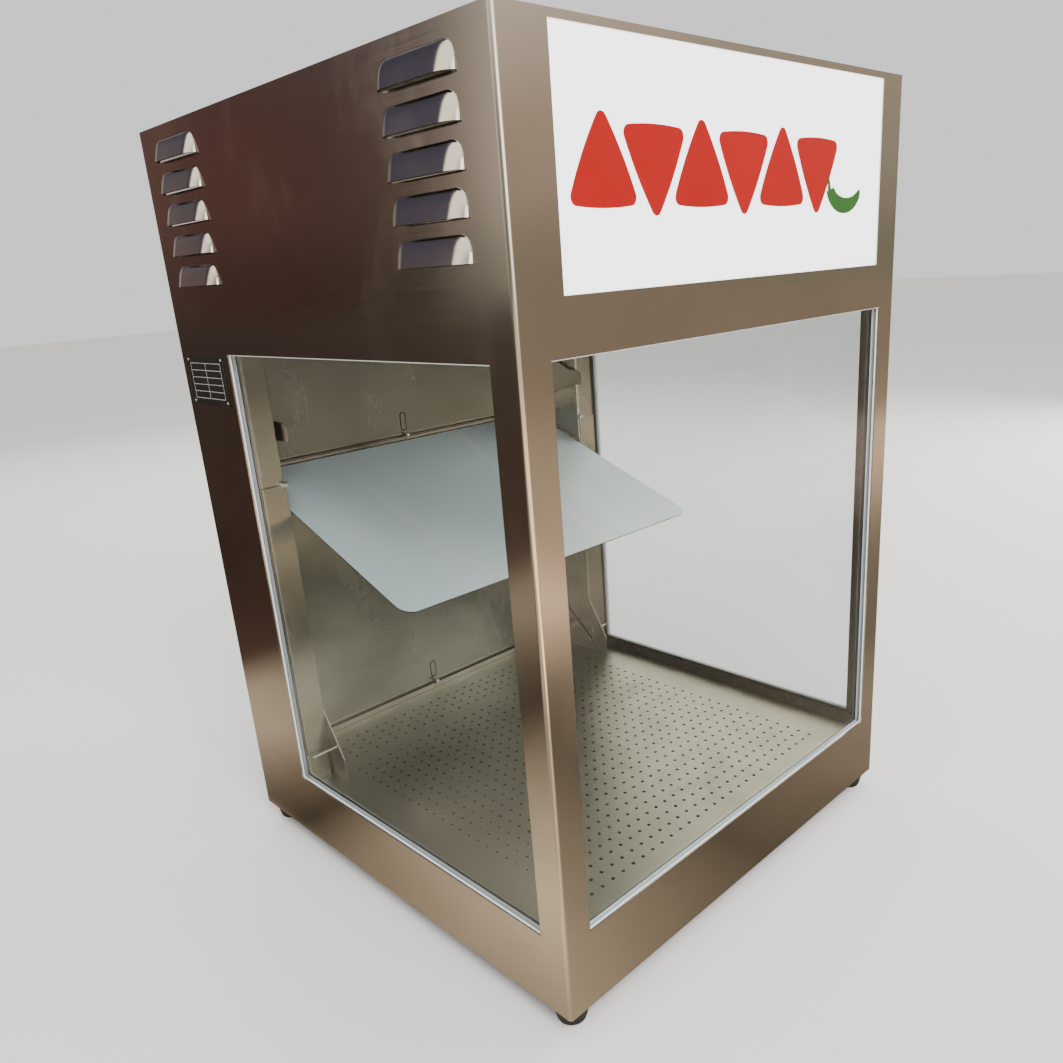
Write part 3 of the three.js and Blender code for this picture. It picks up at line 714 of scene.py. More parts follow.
def louvre_height(y, z, upper):
    """How far a side sheet stands out at (y, z). Each hood slopes out to a lip, open beneath, and
    its ends turn back to the sheet in quarter rounds."""
    half, power = LOUVRE_LENGTH / 2, LOUVRE_SQUARENESS
    for start in LOUVRE_STARTS:
        for row in range(LOUVRE_ROWS):
            above_lip = z - (LOWEST_LIP + row * LOUVRE_PITCH)
            beneath = above_lip < ON_THE_LIP and not upper
            if not -ON_THE_LIP < above_lip < LOUVRE_RISE or beneath:
                continue
            climb = max(above_lip, 0) / LOUVRE_RISE
            end_width = LOUVRE_END * (1 - climb**power) ** (1 / power)
            past_straight = max(0.0, abs(y - start - half) - (half - LOUVRE_END))
            if past_straight >= end_width:
                continue
            face = LOUVRE_BROW + (1 - LOUVRE_BROW) * (1 - climb)
            brow = math.sqrt(1 - climb**BROW_TIGHTNESS)
            roundness = (1 - (past_straight / end_width) ** 2) ** LOUVRE_ROUNDNESS
            return LOUVRE_REACH * face * brow * roundness
    return 0.0


def side_sheet():
    """The left sheet's outer skin, from its rear edge forwards. Cut lines are close together on
    the louvres, and one on either side of each keeps the flat beyond it flat."""
    louvre_y, louvre_z = [], []
    for start in LOUVRE_STARTS:
        stop = start + LOUVRE_LENGTH
        straight = start + LOUVRE_END, stop - LOUVRE_END
        louvre_y += [start - FLAT_MARGIN, stop + FLAT_MARGIN, *steps(*straight, 4)]
        louvre_y += [*steps(start, straight[0], 24), *steps(straight[1], stop, 24)]
    for row in range(LOUVRE_ROWS):
        lip = LOWEST_LIP + row * LOUVRE_PITCH
        brow, top = lip + 0.8 * LOUVRE_RISE, lip + LOUVRE_RISE
        louvre_z += [lip - FLAT_MARGIN, *steps(lip, brow, 14), *steps(brow, top, 14), top + FLAT_MARGIN]
    y0, y1, z0, z1 = SIDE_WINDOW
    ys = merged([BEND + 0.5, y0, y1, DEPTH], louvre_y, steps(y0, y1, 6))
    zs = merged([0, z0, z1, HEIGHT], louvre_z, steps(0, z0, 2), steps(z0, z1, 6))

    def is_open(ya, yb, za, zb):
        return y0 < (ya + yb) / 2 < y1 and z0 < (za + zb) / 2 < z1

    def place(y, z, upper):
        return (-louvre_height(y, z, upper), y, z)

    return grid_surface(list(reversed(ys)), zs, place, is_open)


def outer_sheet(name, skin, node):
    """A bent sheet from its outer skin, thickened inwards."""
    piece = new_object(name, *skin, OUTER)
    solid = piece.modifiers.new("sheet", "SOLIDIFY")
    solid.thickness = SHEET * MM
    solid.offset = -1
    bake(piece)
    even_out(piece)
    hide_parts(node)


def add_outer_sheets():
    for side, flip in sides():
        outer_sheet(f"{side}_side_sheet", flip(*side_sheet()), f"{side}_side_panel")
        flange = flip(*block(SHEET, REAR_FLANGE, DEPTH - SHEET, DEPTH, 0, HEIGHT))
        detail(f"{side}_rear_flange", flange, OUTER, "brushed_steel", radius=0.4)

    left_bend = arc(BEND, BEND, BEND, 180, 270, 8)
    right_bend = arc(WIDTH - BEND, BEND, BEND, 270, 360, 8)
    x0, x1, z0, z1 = FRONT_WINDOW
    sx0, sx1, sz0, sz1 = SIGN
    flats = [(x, 0) for x in merged([x0, x1, sx0, sx1], steps(BEND, WIDTH - BEND, 8))][1:-1]
    columns = [(0, BEND + 0.5), *left_bend, *flats, *right_bend, (WIDTH, BEND + 0.5)]
    rows = merged([0, z0, z1, sz0, sz1, HEIGHT], steps(z0, z1, 6))

    def is_open(c0, c1, r0, r1):
        x, z = (c0[0] + c1[0]) / 2, (r0 + r1) / 2
        return (x0 < x < x1 and z0 < z < z1) or (sx0 < x < sx1 and sz0 < z < sz1)

    skin = grid_surface(columns, rows, lambda c, z, _: (c[0], c[1], z), is_open)
    outer_sheet("front_sheet", skin, "front_panel")


# --- windows
CHANNEL_LAP, CHANNEL_TIP, GLASS_SLACK = 1.5, 0.8, 0.3
RAIL_WALL = 1.0
# A point of a window's frame from its place along the sheet, its height and how far it stands out.
WINDOW_PLACES = {
    "front": lambda u, v, out: (u, -out, v),
    "left": lambda u, v, out: (-out, u, v),
    "right": lambda u, v, out: (WIDTH + out, u, v),
}


def frame_sweep(rectangle, profile, place):
    """A mitred frame: a profile of (inwards, outwards) points carried round a rectangle."""
    u0, u1, v0, v1 = rectangle
    corners = [(u0, v0, 1, 1), (u1, v0, -1, 1), (u1, v1, -1, -1), (u0, v1, 1, -1)]
    points, faces = [], []
    for u, v, du, dv in corners:
        for inwards, outwards in profile:
            points.append(place(u + du * inwards, v + dv * inwards, outwards))
    count = len(profile)
    for corner in range(4):
        for i in range(count):
            j = (i + 1) % count
            here, after = corner * count, ((corner + 1) % 4) * count
            faces.append((here + i, here + j, after + j, after + i))
    return points, faces


def add_windows():
    """White channel round each opening, the pane in it, and a rail under the pane. The rail and the
    channel's inner leg are near-black: painted shade, for the dark that they mirror.
    """
    outer, inner = span("front_window_trim", Y)
    near, far = span("front_glass", Y)
    near, far = near - GLASS_SLACK, far + GLASS_SLACK
    rim, room, tip = GLASS_LAP + CHANNEL_LAP, GLASS_LAP + GLASS_SLACK, CHANNEL_TIP
    outer_leg = [(-rim, -outer), (tip, -outer), (tip, -near), (-room, -near)]
    inner_leg = [(-room, -far), (tip, -far), (tip, -inner), (-rim, -inner)]
    for side, place in WINDOW_PLACES.items():

        def is_inner_leg(polygon):
            x, y = (polygon.center.x - LEFT) / MM, (polygon.center.y - FRONT) / MM
            return {"front": y, "left": x, "right": WIDTH - x}[side] > far + 0.1

        rectangle = FRONT_WINDOW if side == "front" else SIDE_WINDOW
        shape = frame_sweep(rectangle, outer_leg + inner_leg, place)
        trim = detail(f"{side}_channel", shape, CHANNEL_WHITE, "edging", node=f"{side}_window_trim")
        # The channel's inner leg in the near-black rail steel: painted shade.
        two_tone(trim, SHADED_RAIL_STEEL, is_inner_leg)
        soften(trim, 0.3, segments=3)
        give(f"{side}_glass", GLASS, 0.3)

        in_x, in_y, (za, zb) = extents(f"{side}_glass_rail")
        along, length, (low, high) = (X, in_x, in_y) if side == "front" else (Y, in_y, in_x)
        # The foot rail's near-black steel is painted shade.
        rail = prism(trough(low, high, za, zb, RAIL_WALL), along, *length)
        detail(f"{side}_foot_rail", rail, SHADED_RAIL_STEEL, "inner_steel", radius=0.3, node=f"{side}_glass_rail")


def give(node, material, radius=0.0):
    """Puts a finish on a CAD node that is kept, and rounds its edges."""
    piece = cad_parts[node]
    piece.data.materials.clear()
    piece.data.materials.append(material)
    if radius:
        soften(piece, radius)


# --- sign
SIGN_RAISE, SIGN_CHAMFER = 0.9, 0.2
CHIPS, CHIP_SIZE, CHIP_RADIUS, CHIP_BOW, CHIP_STAGGER = 6, 33, 5, 1.2, 4
CHIPS_START, CHIPS_SHARE, PEPPER_INSET = 0.04, 0.76, 0.15


def chip_outline(cx, cz, turn):
    """A triangle with round corners and slightly bowed sides."""
    outline, reach, sixty = [], CHIP_SIZE - CHIP_RADIUS, math.radians(60)
    for corner in range(3):
        degrees = turn + 120 * corner
        heading = math.radians(degrees)
        px, pz = cx + reach * math.cos(heading), cz + reach * math.sin(heading)
        outline += arc(px, pz, CHIP_RADIUS, degrees - 60, degrees + 60, 6)
        outward = heading + sixty
        ahead = outward + math.pi / 2
        for t in steps(-1, 1, 8)[1:-1]:
            out, along = reach / 2 + CHIP_RADIUS + CHIP_BOW * (1 - t * t), t * reach * math.sin(sixty)
            x = cx + out * math.cos(outward) + along * math.cos(ahead)
            z = cz + out * math.sin(outward) + along * math.sin(ahead)
            outline.append((x, z))
    return outline


def add_sign():
    """A white sheet that laps behind the front and stands forward in its cut-out, with a row of
    red chips and a pepper printed on it."""
    x0, x1, z0, z1 = SIGN
    y0, y1 = span("sign_panel", Y)
    face = y0 - SIGN_RAISE - SIGN_CHAMFER

    def ring(y, inset, top_inset=None):
        xa, xb, za, zb = x0 + inset, x1 - inset, z0 + inset, z1 - (top_inset or inset)
        return [(xa, y, za), (xb, y, za), (xb, y, zb), (xa, y, zb)]

    points = ring(y1, -SIGN_LAP, -SIGN_TOP_LAP) + ring(y0, -SIGN_LAP, -SIGN_TOP_LAP)
    points += ring(y0, 0.4) + ring(y0 - SIGN_RAISE, 0.4) + ring(face, 1.4)
    faces = [(0, 1, 2, 3), tuple(range(len(points) - 4, len(points)))]
    for low in range(0, len(points) - 4, 4):
        for i in range(4):
            j = (i + 1) % 4
            faces.append((low + i, low + j, low + 4 + j, low + 4 + i))
    detail("sign_sheet", (points, faces), SIGN_WHITE, "sign_white", node="sign_panel")

    width, middle_z = x1 - x0, (z0 + z1) / 2
    pitch = width * CHIPS_SHARE / CHIPS
    for i in range(CHIPS):
        cx = x0 + width * CHIPS_START + pitch * (i + 0.5)
        way = 1 if i % 2 else -1
        outline = chip_outline(cx, middle_z + way * CHIP_STAGGER, -90 * way)
        chip = prism(outline, Y, face - 0.12, face - 0.02)
        detail(f"sign_chip_{i + 1}", chip, SIGN_RED, "sign_white")
    add_pepper(x1 - width * PEPPER_INSET, middle_z - 8, face)


def add_pepper(cx, cz, face):
    """A small green pepper printed after the chips: a crescent that tapers to its tip, and a stalk."""
    reach_x, reach_z, fatness = 24.0, 16.0, 6.0
    lower, upper = [], []
    for t in steps(0, 1, 18):
        turn = math.radians(195 + 150 * t)
        half = fatness * math.sqrt(1 - ((t - 0.25) / 0.76) ** 2) + 0.2
        u, v = math.cos(turn), math.sin(turn)
        lower.append((cx + (reach_x + half) * u, cz + (reach_z + half) * v))
        upper.append((cx + (reach_x - half) * u, cz + (reach_z - half) * v))
    body = prism(lower + upper[::-1], Y, face - 0.2, face - 0.13)
    detail("sign_pepper", body, SIGN_GREEN, "sign_white")
    x, z = cx - reach_x, cz - 5
    stalk = rounded_outline([(x - 3, z), (x + 2, z), (x - 1, z + 10), (x - 3, z + 9)], 1)
    detail("sign_stalk", prism(stalk, Y, face - 0.27, face - 0.21), SIGN_GREEN, "sign_white")


# --- floor
HOLE_PITCH, HOLE_RADIUS, HOLE_SIDES = 12.7, 1.7, 12
HOLES_X, HOLES_Y = (47.0, WIDTH - 47.0), (34.5, 430.0)
MOUTH_INSET, MOUTH_FRONT_INSET, MOUTH_REAR = 2.5, 3, 447.5


def hole_lines():
    """Cut lines between the holes of the square grid, centred on the cabinet."""
    across = int((HOLES_X[1] - HOLES_X[0]) / HOLE_PITCH)
    along = int((HOLES_Y[1] - HOLES_Y[0]) / HOLE_PITCH)
    start_x = (sum(HOLES_X) - across * HOLE_PITCH) / 2
    xs = [start_x + i * HOLE_PITCH for i in range(across + 1)]
    ys = [HOLES_Y[0] + i * HOLE_PITCH for i in range(along + 1)]
    return xs, ys


def hole_rim(cx, cy):
    """A hole's rim, with a side of it square to each side of its cell."""
    half_side = 180 / HOLE_SIDES
    return arc(cx, cy, HOLE_RADIUS, half_side, 360 + half_side, HOLE_SIDES)[:-1]


def add_floor():
    """The floor plate, with every hole of its square grid and a mouth under each duct."""
    (x0, x1), (y0, y1), (_, top) = extents("perforated_floor")
    duct_x, duct_y, _ = extents("left_air_duct")
    mouth_x = (duct_x[0] + MOUTH_INSET, duct_x[1] - MOUTH_INSET)
    mouth_y = (duct_y[0] + MOUTH_FRONT_INSET, MOUTH_REAR)
    hole_x, hole_y = hole_lines()
    all_x = merged([x0, x1, *mouth_x, *(WIDTH - x for x in mouth_x)], hole_x)
    all_y = merged([y0, y1, *mouth_y], hole_y)
    points, faces = [], []

    def face(*corners):
        faces.append(tuple(range(len(points), len(points) + len(corners))))
        points.extend(corners)

    def skins(ring):
        """A ring as a face on top and one underneath."""
        face(*((x, y, top) for x, y in ring))
        face(*((x, y, top - SHEET) for x, y in reversed(ring)))

    def wall(p, q):
        face((*p, top), (*p, top - SHEET), (*q, top - SHEET), (*q, top))

    def holed_cell(ring):
        """A fan of rim points at each corner, and a face along each side."""
        (xa, ya), (xb, yb) = ring[0], ring[2]
        rim, corners = hole_rim((xa + xb) / 2, (ya + yb) / 2), ring[2:] + ring[:2]
        for k, corner in enumerate(corners):
            after, quarter = (k + 1) % 4, HOLE_SIDES // 4
            near = rim[k * quarter : (k + 1) * quarter]
            skins([corner, corners[after], rim[after * quarter], near[-1]])
            skins([corner, *reversed(near)])
        for p, q in zip(rim, rim[1:] + rim[:1]):
            wall(q, p)

    def kind(xa, xb, ya, yb):
        x, y = (xa + xb) / 2, (ya + yb) / 2
        if mouth_x[0] < min(x, WIDTH - x) < mouth_x[1] and mouth_y[0] < y < mouth_y[1]:
            return "open"
        on_grid = abs(xb - xa - HOLE_PITCH) < 0.01 and abs(yb - ya - HOLE_PITCH) < 0.01
        return "hole" if on_grid else "plain"

    columns, rows = list(zip(all_x, all_x[1:])), list(zip(all_y, all_y[1:]))
    kinds = {(i, j): kind(*c, *r) for i, c in enumerate(columns) for j, r in enumerate(rows)}
    for (i, j), what in kinds.items():
        if what == "open":
            continue
        (xa, xb), (ya, yb) = columns[i], rows[j]
        ring = [(xa, ya), (xb, ya), (xb, yb), (xa, yb)]
        if what == "hole":
            holed_cell(ring)
        else:
            skins(ring)
        beyond = [(i, j - 1), (i + 1, j), (i, j + 1), (i - 1, j)]
        for cell, p, q in zip(beyond, ring, ring[1:] + ring[:1]):
            if kinds.get(cell, "open") == "open":
                wall(p, q)
    detail("perforated_plate", (points, faces), FLOOR_STEEL, "inner_steel", node="perforated_floor")


# --- doors and catches
PIN_ROOM, KNUCKLE = 2.25, 3.2
TONGUE_RISE, TONGUE_TALL, TONGUE_WIDE, TONGUE_GROOVE = 14.5, 21.0, 8.6, 1.3
BACKING_LAP = 2.4
HEM_INSET, HEM_HEIGHT = 2, 1.8
BALL_RADIUS = 2.6
# A cheek's outline: height, and reach forward of its hinge pin.
CHEEKS = {
    "upper": [
        (448, 0), (413, 75.2), (412, 92.2), (409, 96.2),
        (398, 96.2), (395, 93.2), (395, 75.2), (370, 0),
    ],
    "lower": [(146, 0), (70, 83.7), (64, 85.7), (61, 82.2), (61, 0)],
}


def add_leaf(level):
    """A flat leaf that hangs from a rolled knuckle. A cheek is bent forwards from either side, and
    a spring tongue is cut out of the foot over the ball that holds the door shut."""
    door = f"{level}_door"
    (x0, x1), _, (bottom, _) = extents(door)
    pin_y, pin_z = middle(f"{level}_hinge_pin", Y), middle(f"{level}_hinge_pin", Z)
    front, back = pin_y - SHEET / 2, pin_y + SHEET / 2

    def slot_outline(grow):
        return obround(WIDTH / 2, bottom + TONGUE_RISE, TONGUE_WIDE + grow, TONGUE_TALL + grow)

    left, right, top = x0 + 0.4, x1 - 0.4, pin_z - 2.6
    leaf = prism([(left, bottom), (right, bottom), (right, top), (left, top)], Y, front, back)
    plate = detail(f"{door}_leaf", leaf, SHADED_INNER_STEEL, "inner_steel", door, node=door)
    cut(plate, prism(slot_outline(0), Y, front - 5, back + 5))
    soften(plate, 0.25)
    tongue = prism(slot_outline(-2 * TONGUE_GROOVE), Y, front - 0.2, back - 0.2)
    detail(f"{door}_tongue", tongue, SHADED_INNER_STEEL, "inner_steel", door, 0.2)
    # A dark plate behind the slot: painted shade, so the groove round the tongue reads as a dark outline.
    shade_backing = prism(slot_outline(BACKING_LAP), Y, back - 0.1, back + 0.6)
    detail(f"{door}_backing", shade_backing, DARK_PLATE, "inner_steel", door)
    roll = tube(PIN_ROOM, KNUCKLE, x0, x1, (0, pin_y, pin_z), X)
    detail(f"{door}_knuckle", roll, SHADED_INNER_STEEL, "inner_steel", door, 0.2)
    hem = block(x0 + HEM_INSET, x1 - HEM_INSET, front - 0.7, front + 0.1, bottom, bottom + HEM_HEIGHT)
    detail(f"{door}_hem", hem, LIT_INNER_STEEL, "inner_steel", door, 0.3)
    outline = rounded_outline([(pin_y - ahead, z) for z, ahead in CHEEKS[level]], 3.0)
    for side, start in (("left", x0), ("right", x1 - SHEET)):
        cheek = prism(outline, X, start, start + SHEET)
        detail(f"{door}_{side}_cheek", cheek, LIT_INNER_STEEL, "inner_steel", door, 0.35)


def add_catch(level, rail):
    """A sprung ball in a clip on the rail under a door, and the black rubber seal along that rail,
    whose black also paints the dark shade line under the door.
    """
    catch = f"{level}_catch"
    centre, pin_y = WIDTH / 2, middle(f"{level}_hinge_pin", Y)
    (rail_x0, rail_x1), (rail_front, _), _ = extents(rail)
    _, (catch_front, _), (_, top) = extents(catch)
    seal_z = top - 4.5
    # A black rubber strip behind the door's foot; its black also paints the dark shade line under the door.
    seal = block(rail_x0 + 0.5, rail_x1 - 0.5, pin_y + 0.9, pin_y + 1.6, seal_z, seal_z + 1.3)
    detail(f"{level}_door_seal_and_shade_strip", seal, RUBBER, "inner_steel", radius=0.2)
    (foot_z, foot), (neck_z, neck) = (top - 9, 2.6), (top - 2.5, 1.9)
    corners = [(-foot, foot_z), (foot, foot_z), (neck, neck_z), (-neck, neck_z)]
    clip = rounded_outline([(centre + x, z) for x, z in corners], 1.2)
    strip = prism(clip, Y, rail_front - 1.2, rail_front - 0.3)
    detail(f"{level}_catch_clip", strip, LIT_INNER_STEEL, "bright_steel", radius=0.2, node=catch)
    turns = steps(math.pi - 0.05, 0.05, 14)
    profile = [(BALL_RADIUS * math.sin(t), BALL_RADIUS * math.cos(t)) for t in turns]
    ball = lathe(profile, (centre, catch_front + BALL_RADIUS, top - BALL_RADIUS), X, 24)
    detail(f"{level}_catch_ball", ball, BRIGHT, "bright_steel")


def add_doors():
    for level, rail in (("upper", "rear_divider"), ("lower", "rear_sill")):
        add_leaf(level)
        add_catch(level, rail)


# --- ducts, guards and baffle
DUCT_BEND, COVER_THICKNESS = 2.4, 1.8
STUD_REACH, STUD_RADIUS, STUD_LENGTH = 1.5, 3.0, 7.4


def add_duct(side, flip):
    """A channel folded from sheet, with clearance holes for the three pins."""
    (x0, x1), (y0, y1), (z0, z1) = extents("left_air_duct")
    bend_x, near, far = x1 - DUCT_BEND, y0 + DUCT_BEND, y1 - DUCT_BEND
    inner = DUCT_BEND - SHEET
    skin = [*arc(bend_x, near, DUCT_BEND, 270, 360, 6), *arc(bend_x, far, DUCT_BEND, 0, 90, 6)]
    back = [*arc(bend_x, far, inner, 90, 0, 6), *arc(bend_x, near, inner, 360, 270, 6)]
    outline = [(x0, y0), *skin, (x0, y1), (x0, y1 - SHEET), *back, (x0, y0 + SHEET)]
    channel = flip(*prism(outline, Z, z0, z1))
    column = detail(f"{side}_duct_channel", channel, LIT_DUCT_STEEL, "inner_steel", node=f"{side}_air_duct")
    holes = []
    for pin in ("upper_hinge_pin", "lower_hinge_pin", "baffle_hinge_pin"):
        place = (0, middle(pin, Y), middle(pin, Z))
        holes.append(flip(*lathe([(PIN_ROOM, x1 - 10), (PIN_ROOM, x1 + 10)], place, X, 24)))
    cut(column, *holes)
    even_out(column)


def add_duct_cover(side, flip):
    """A proud plate on the duct's rear face, with a folded lip and a stud at its top corner."""
    (x0, x1), (y0, y1), (z0, z1) = extents("left_duct_cover")
    edge, top = x1 - STUD_REACH, z1 - STUD_RADIUS
    panel = rounded_outline([(x0, z0), (edge, z0), (edge, top), (x0, top)], 1.2)
    plate, node = flip(*prism(panel, Y, y1 - COVER_THICKNESS, y1)), f"{side}_duct_cover"
    detail(f"{side}_duct_plate", plate, LIT_DUCT_STEEL, "inner_steel", radius=0.3, node=node)
    lip = flip(*block(x0, edge, y1 - 2.4, y1 - 1.7, top - 1.4, top - 0.2))
    detail(f"{side}_duct_lip", lip, LIT_DUCT_STEEL, "inner_steel", radius=0.2)
    foot = x1 - STUD_LENGTH
    head = [(1.4, foot), (2.6, foot + 0.2), (STUD_RADIUS, foot + 0.8), (STUD_RADIUS, x1 - 0.8), (2.4, x1)]
    stud = flip(*lathe(head, (0, y0 + STUD_RADIUS, top), X, 20))
    detail(f"{side}_duct_stud", stud, BRIGHT, "inner_steel")


def add_guard(side, flip):
    """A plate with a sloping top front corner at a duct's foot, and the headed rod through it."""
    (x0, x1), (y0, y1), (z0, z1) = extents("left_side_guard")
    outline = [(y0, z0), (y0, z0 + 25.5), (y0 + 40, z1), (y1, z1), (y1, z0)]
    plate = flip(*prism(rounded_outline(outline, 2.0), X, x0, x1))
    guard = detail(f"{side}_guard_plate", plate, LIT_INNER_STEEL, "inner_steel", node=f"{side}_side_guard")
    rod = (0, middle("left_guard_rod", Y), middle("left_guard_rod", Z))
    cut(guard, flip(*lathe([(1.9, x0 - 1), (1.9, x1 + 1)], rod, X, 24)))
    soften(guard, 0.3)
    start, stop = span("left_guard_rod", X)
    head = x1 + 0.3
    shank = [(1.2, start), (1.6, start + 0.4), (1.6, head), (3.0, head), (3.2, head + 0.2)]
    shank += [(3.2, stop - 0.3), (2.6, stop), (1.6, stop), (1.4, stop - 0.3)]
    shape = flip(*lathe(shank, rod, X, 28))
    detail(f"{side}_rod", shape, BRIGHT, "bright_steel", node=f"{side}_guard_rod")


BAFFLE_TILT, BAFFLE_LENGTH, BAFFLE_CORNER = math.radians(21.4), 258.0, 14.0
BAFFLE_REAR = (447.5, 357.0)
BAFFLE_KNUCKLES, KNUCKLE_SLIT, KNUCKLE_INSET = 3, 0.8, 6


def add_baffle():
    """The plate slopes down and forwards from its hinge."""
    x0, x1 = span("baffle_plate", X)
    cosine, sine = math.cos(BAFFLE_TILT), math.sin(BAFFLE_TILT)
    rear_y, rear_z = BAFFLE_REAR
    radius, foot = BAFFLE_CORNER, -BAFFLE_LENGTH + BAFFLE_CORNER
    outline = [(x0, 0), *arc(x0 + radius, foot, radius, 180, 270, 10)]
    outline += [*arc(x1 - radius, foot, radius, 270, 360, 10), (x1, 0)]
    flat_points, faces = prism(outline, Z, -SHEET, 0)
    points = []
    for x, along, rise in flat_points:
        points.append((x, rear_y + along * cosine - rise * sine, rear_z + along * sine + rise * cosine))
    sheet = detail("baffle_sheet", (points, faces), FILMED, "filmed_steel", "baffle", 0.2, "baffle_plate")
    across = Vector((0, -sine, cosine))
    # The sheet's cut edges in the near-black rail steel: painted shade, as dark edge lines.
    two_tone(sheet, SHADED_RAIL_STEEL, lambda polygon: abs(polygon.normal.dot(across)) < 0.5)
    pin = (0, middle("baffle_hinge_pin", Y), middle("baffle_hinge_pin", Z))
    run = (x1 - x0 - 2 * KNUCKLE_INSET) / BAFFLE_KNUCKLES
    for i in range(BAFFLE_KNUCKLES):
        start = x0 + KNUCKLE_INSET + run * i
        slit = KNUCKLE_SLIT if i < BAFFLE_KNUCKLES - 1 else 0
        roll = tube(PIN_ROOM, KNUCKLE, start, start + run - slit, pin, X)
        detail(f"baffle_knuckle_{i + 1}", roll, FILMED, "filmed_steel", "baffle", 0.2)


# --- feet and rating plate
def add_feet():
    """Moulded feet that taper down to a hollow tread."""
    for corner in ("front_left", "front_right", "rear_left", "rear_right"):
        node = f"foot_{corner}"
        tread, top = span(node, Z)
        flange = [(13.6, top), (14.6, top - 0.3), (15.0, top - 1.2), (14.9, top - 3.0), (14.0, top - 3.8)]
        taper = [(11.8, tread + 2.4), (11.2, tread + 0.8), (10.2, tread)]
        hollow = [(5.2, tread), (4.6, tread + 0.8), (4.6, tread + 4.0)]
        shape = lathe(flange + taper + hollow, (middle(node, X), middle(node, Y), 0), Z, 36)
        detail(f"rubber_{node}", shape, RUBBER, "rubber", node=node)


def add_rivet(name, centre, axis, radius, slot, outwards=1):
    """A low domed head on a face."""
    dome = [(1, 0), (1, 0.25), (0.8, 0.5), (0.4, 0.66)]
    profile = [(radius * reach, outwards * radius * rise) for reach, rise in dome]
    detail(name, lathe(profile, centre, axis, 20), BRIGHT, slot)


RULE, RULE_INSET, RULED_ROWS, RIVET_INSET = 0.5, 6.0, 5, 3


def add_data_plate():
    """A blank rating plate with bright ruled rows and columns, and a rivet in each corner."""
    (x0, x1), (y0, y1), (z0, z1) = extents("data_plate")
    plate = prism(rounded_rectangle(y0, y1, z0, z1, 2.0), X, x0, x1)
    detail("rating_plate", plate, DARK_PLATE, "dark_plate", radius=0.15, node="data_plate")

    def rule(name, y_low, y_high, z_low, z_high):
        stripe = block(x0 - 0.05, x0 + 0.05, y_low, y_high, z_low, z_high)
        detail(name, stripe, PLATE_MARK, "dark_plate")

    left, right = y0 + RULE_INSET, y1 - RULE_INSET
    rows = steps(z0 + RULE_INSET, z1 - RULE_INSET, RULED_ROWS)
    for i, z in enumerate(rows):
        rule(f"rating_rule_{i + 1}", left, right, z - RULE / 2, z + RULE / 2)
    for i, y in enumerate((left, (left + right) / 2, right)):
        rule(f"rating_column_{i + 1}", y - RULE / 2, y + RULE / 2, rows[0], rows[-1])
    rivet_y, rivet_z = (y0 + RIVET_INSET, y1 - RIVET_INSET), (z0 + RIVET_INSET, z1 - RIVET_INSET)
    for i, (y, z) in enumerate((y, z) for y in rivet_y for z in rivet_z):
        add_rivet(f"rating_rivet_{i + 1}", (x0, y, z), X, 1.3, "dark_plate", outwards=-1)


# --- rear controls and tray pull
DIAL_MARKS, DIAL_FROM, DIAL_STEP = 7, 225, 45
TICK_RADIUS, TICK_HALF_LENGTH, TICK_HALF_WIDTH = 18.5, 1.6, 0.4
NUMBER_RADIUS, NUMBER_HEIGHT = 25, 6.5
GRIP_RIBS, RIB_DEPTH = 16, 0.9
ROCKER_TILT, ROCKER_PIVOT, ROCKER_HALF_WIDTH = math.radians(9), 0.8, 10
# A rocker key from the side: out of the panel, then up.
ROCKER_DISH = [(-4, -13), (3.2, -13), (2.5, -7), (2.1, 0), (2.5, 7), (3.2, 13), (-4, 13)]
MARK_LOW, MARK_HIGH = 2.3, 2.62
INLET_PINS = ((-8, -1.5), (0, 1.5), (8, -1.5))
SCREW_INSET = 12


def add_number(name, number, cx, cz, y):
    """A dial figure, to be read from behind the cabinet."""
    curve = bpy.data.curves.new(name, "FONT")
    curve.body = str(number)
    curve.size = NUMBER_HEIGHT * MM
    curve.align_x = "CENTER"
    curve.align_y = "CENTER"
    curve.extrude = 0.05 * MM
    holder = bpy.data.objects.new(name, curve)
    bpy.context.scene.collection.objects.link(holder)
    state = bpy.context.evaluated_depsgraph_get()
    mesh = bpy.data.meshes.new_from_object(holder.evaluated_get(state))
    points = [(cx - v.co.x / MM, y + v.co.z / MM, cz + v.co.y / MM) for v in mesh.vertices]
    faces = [tuple(p.vertices) for p in mesh.polygons]
    bpy.data.objects.remove(holder)
    detail(name, (points, faces), WHITE_MARK, "brushed_steel")


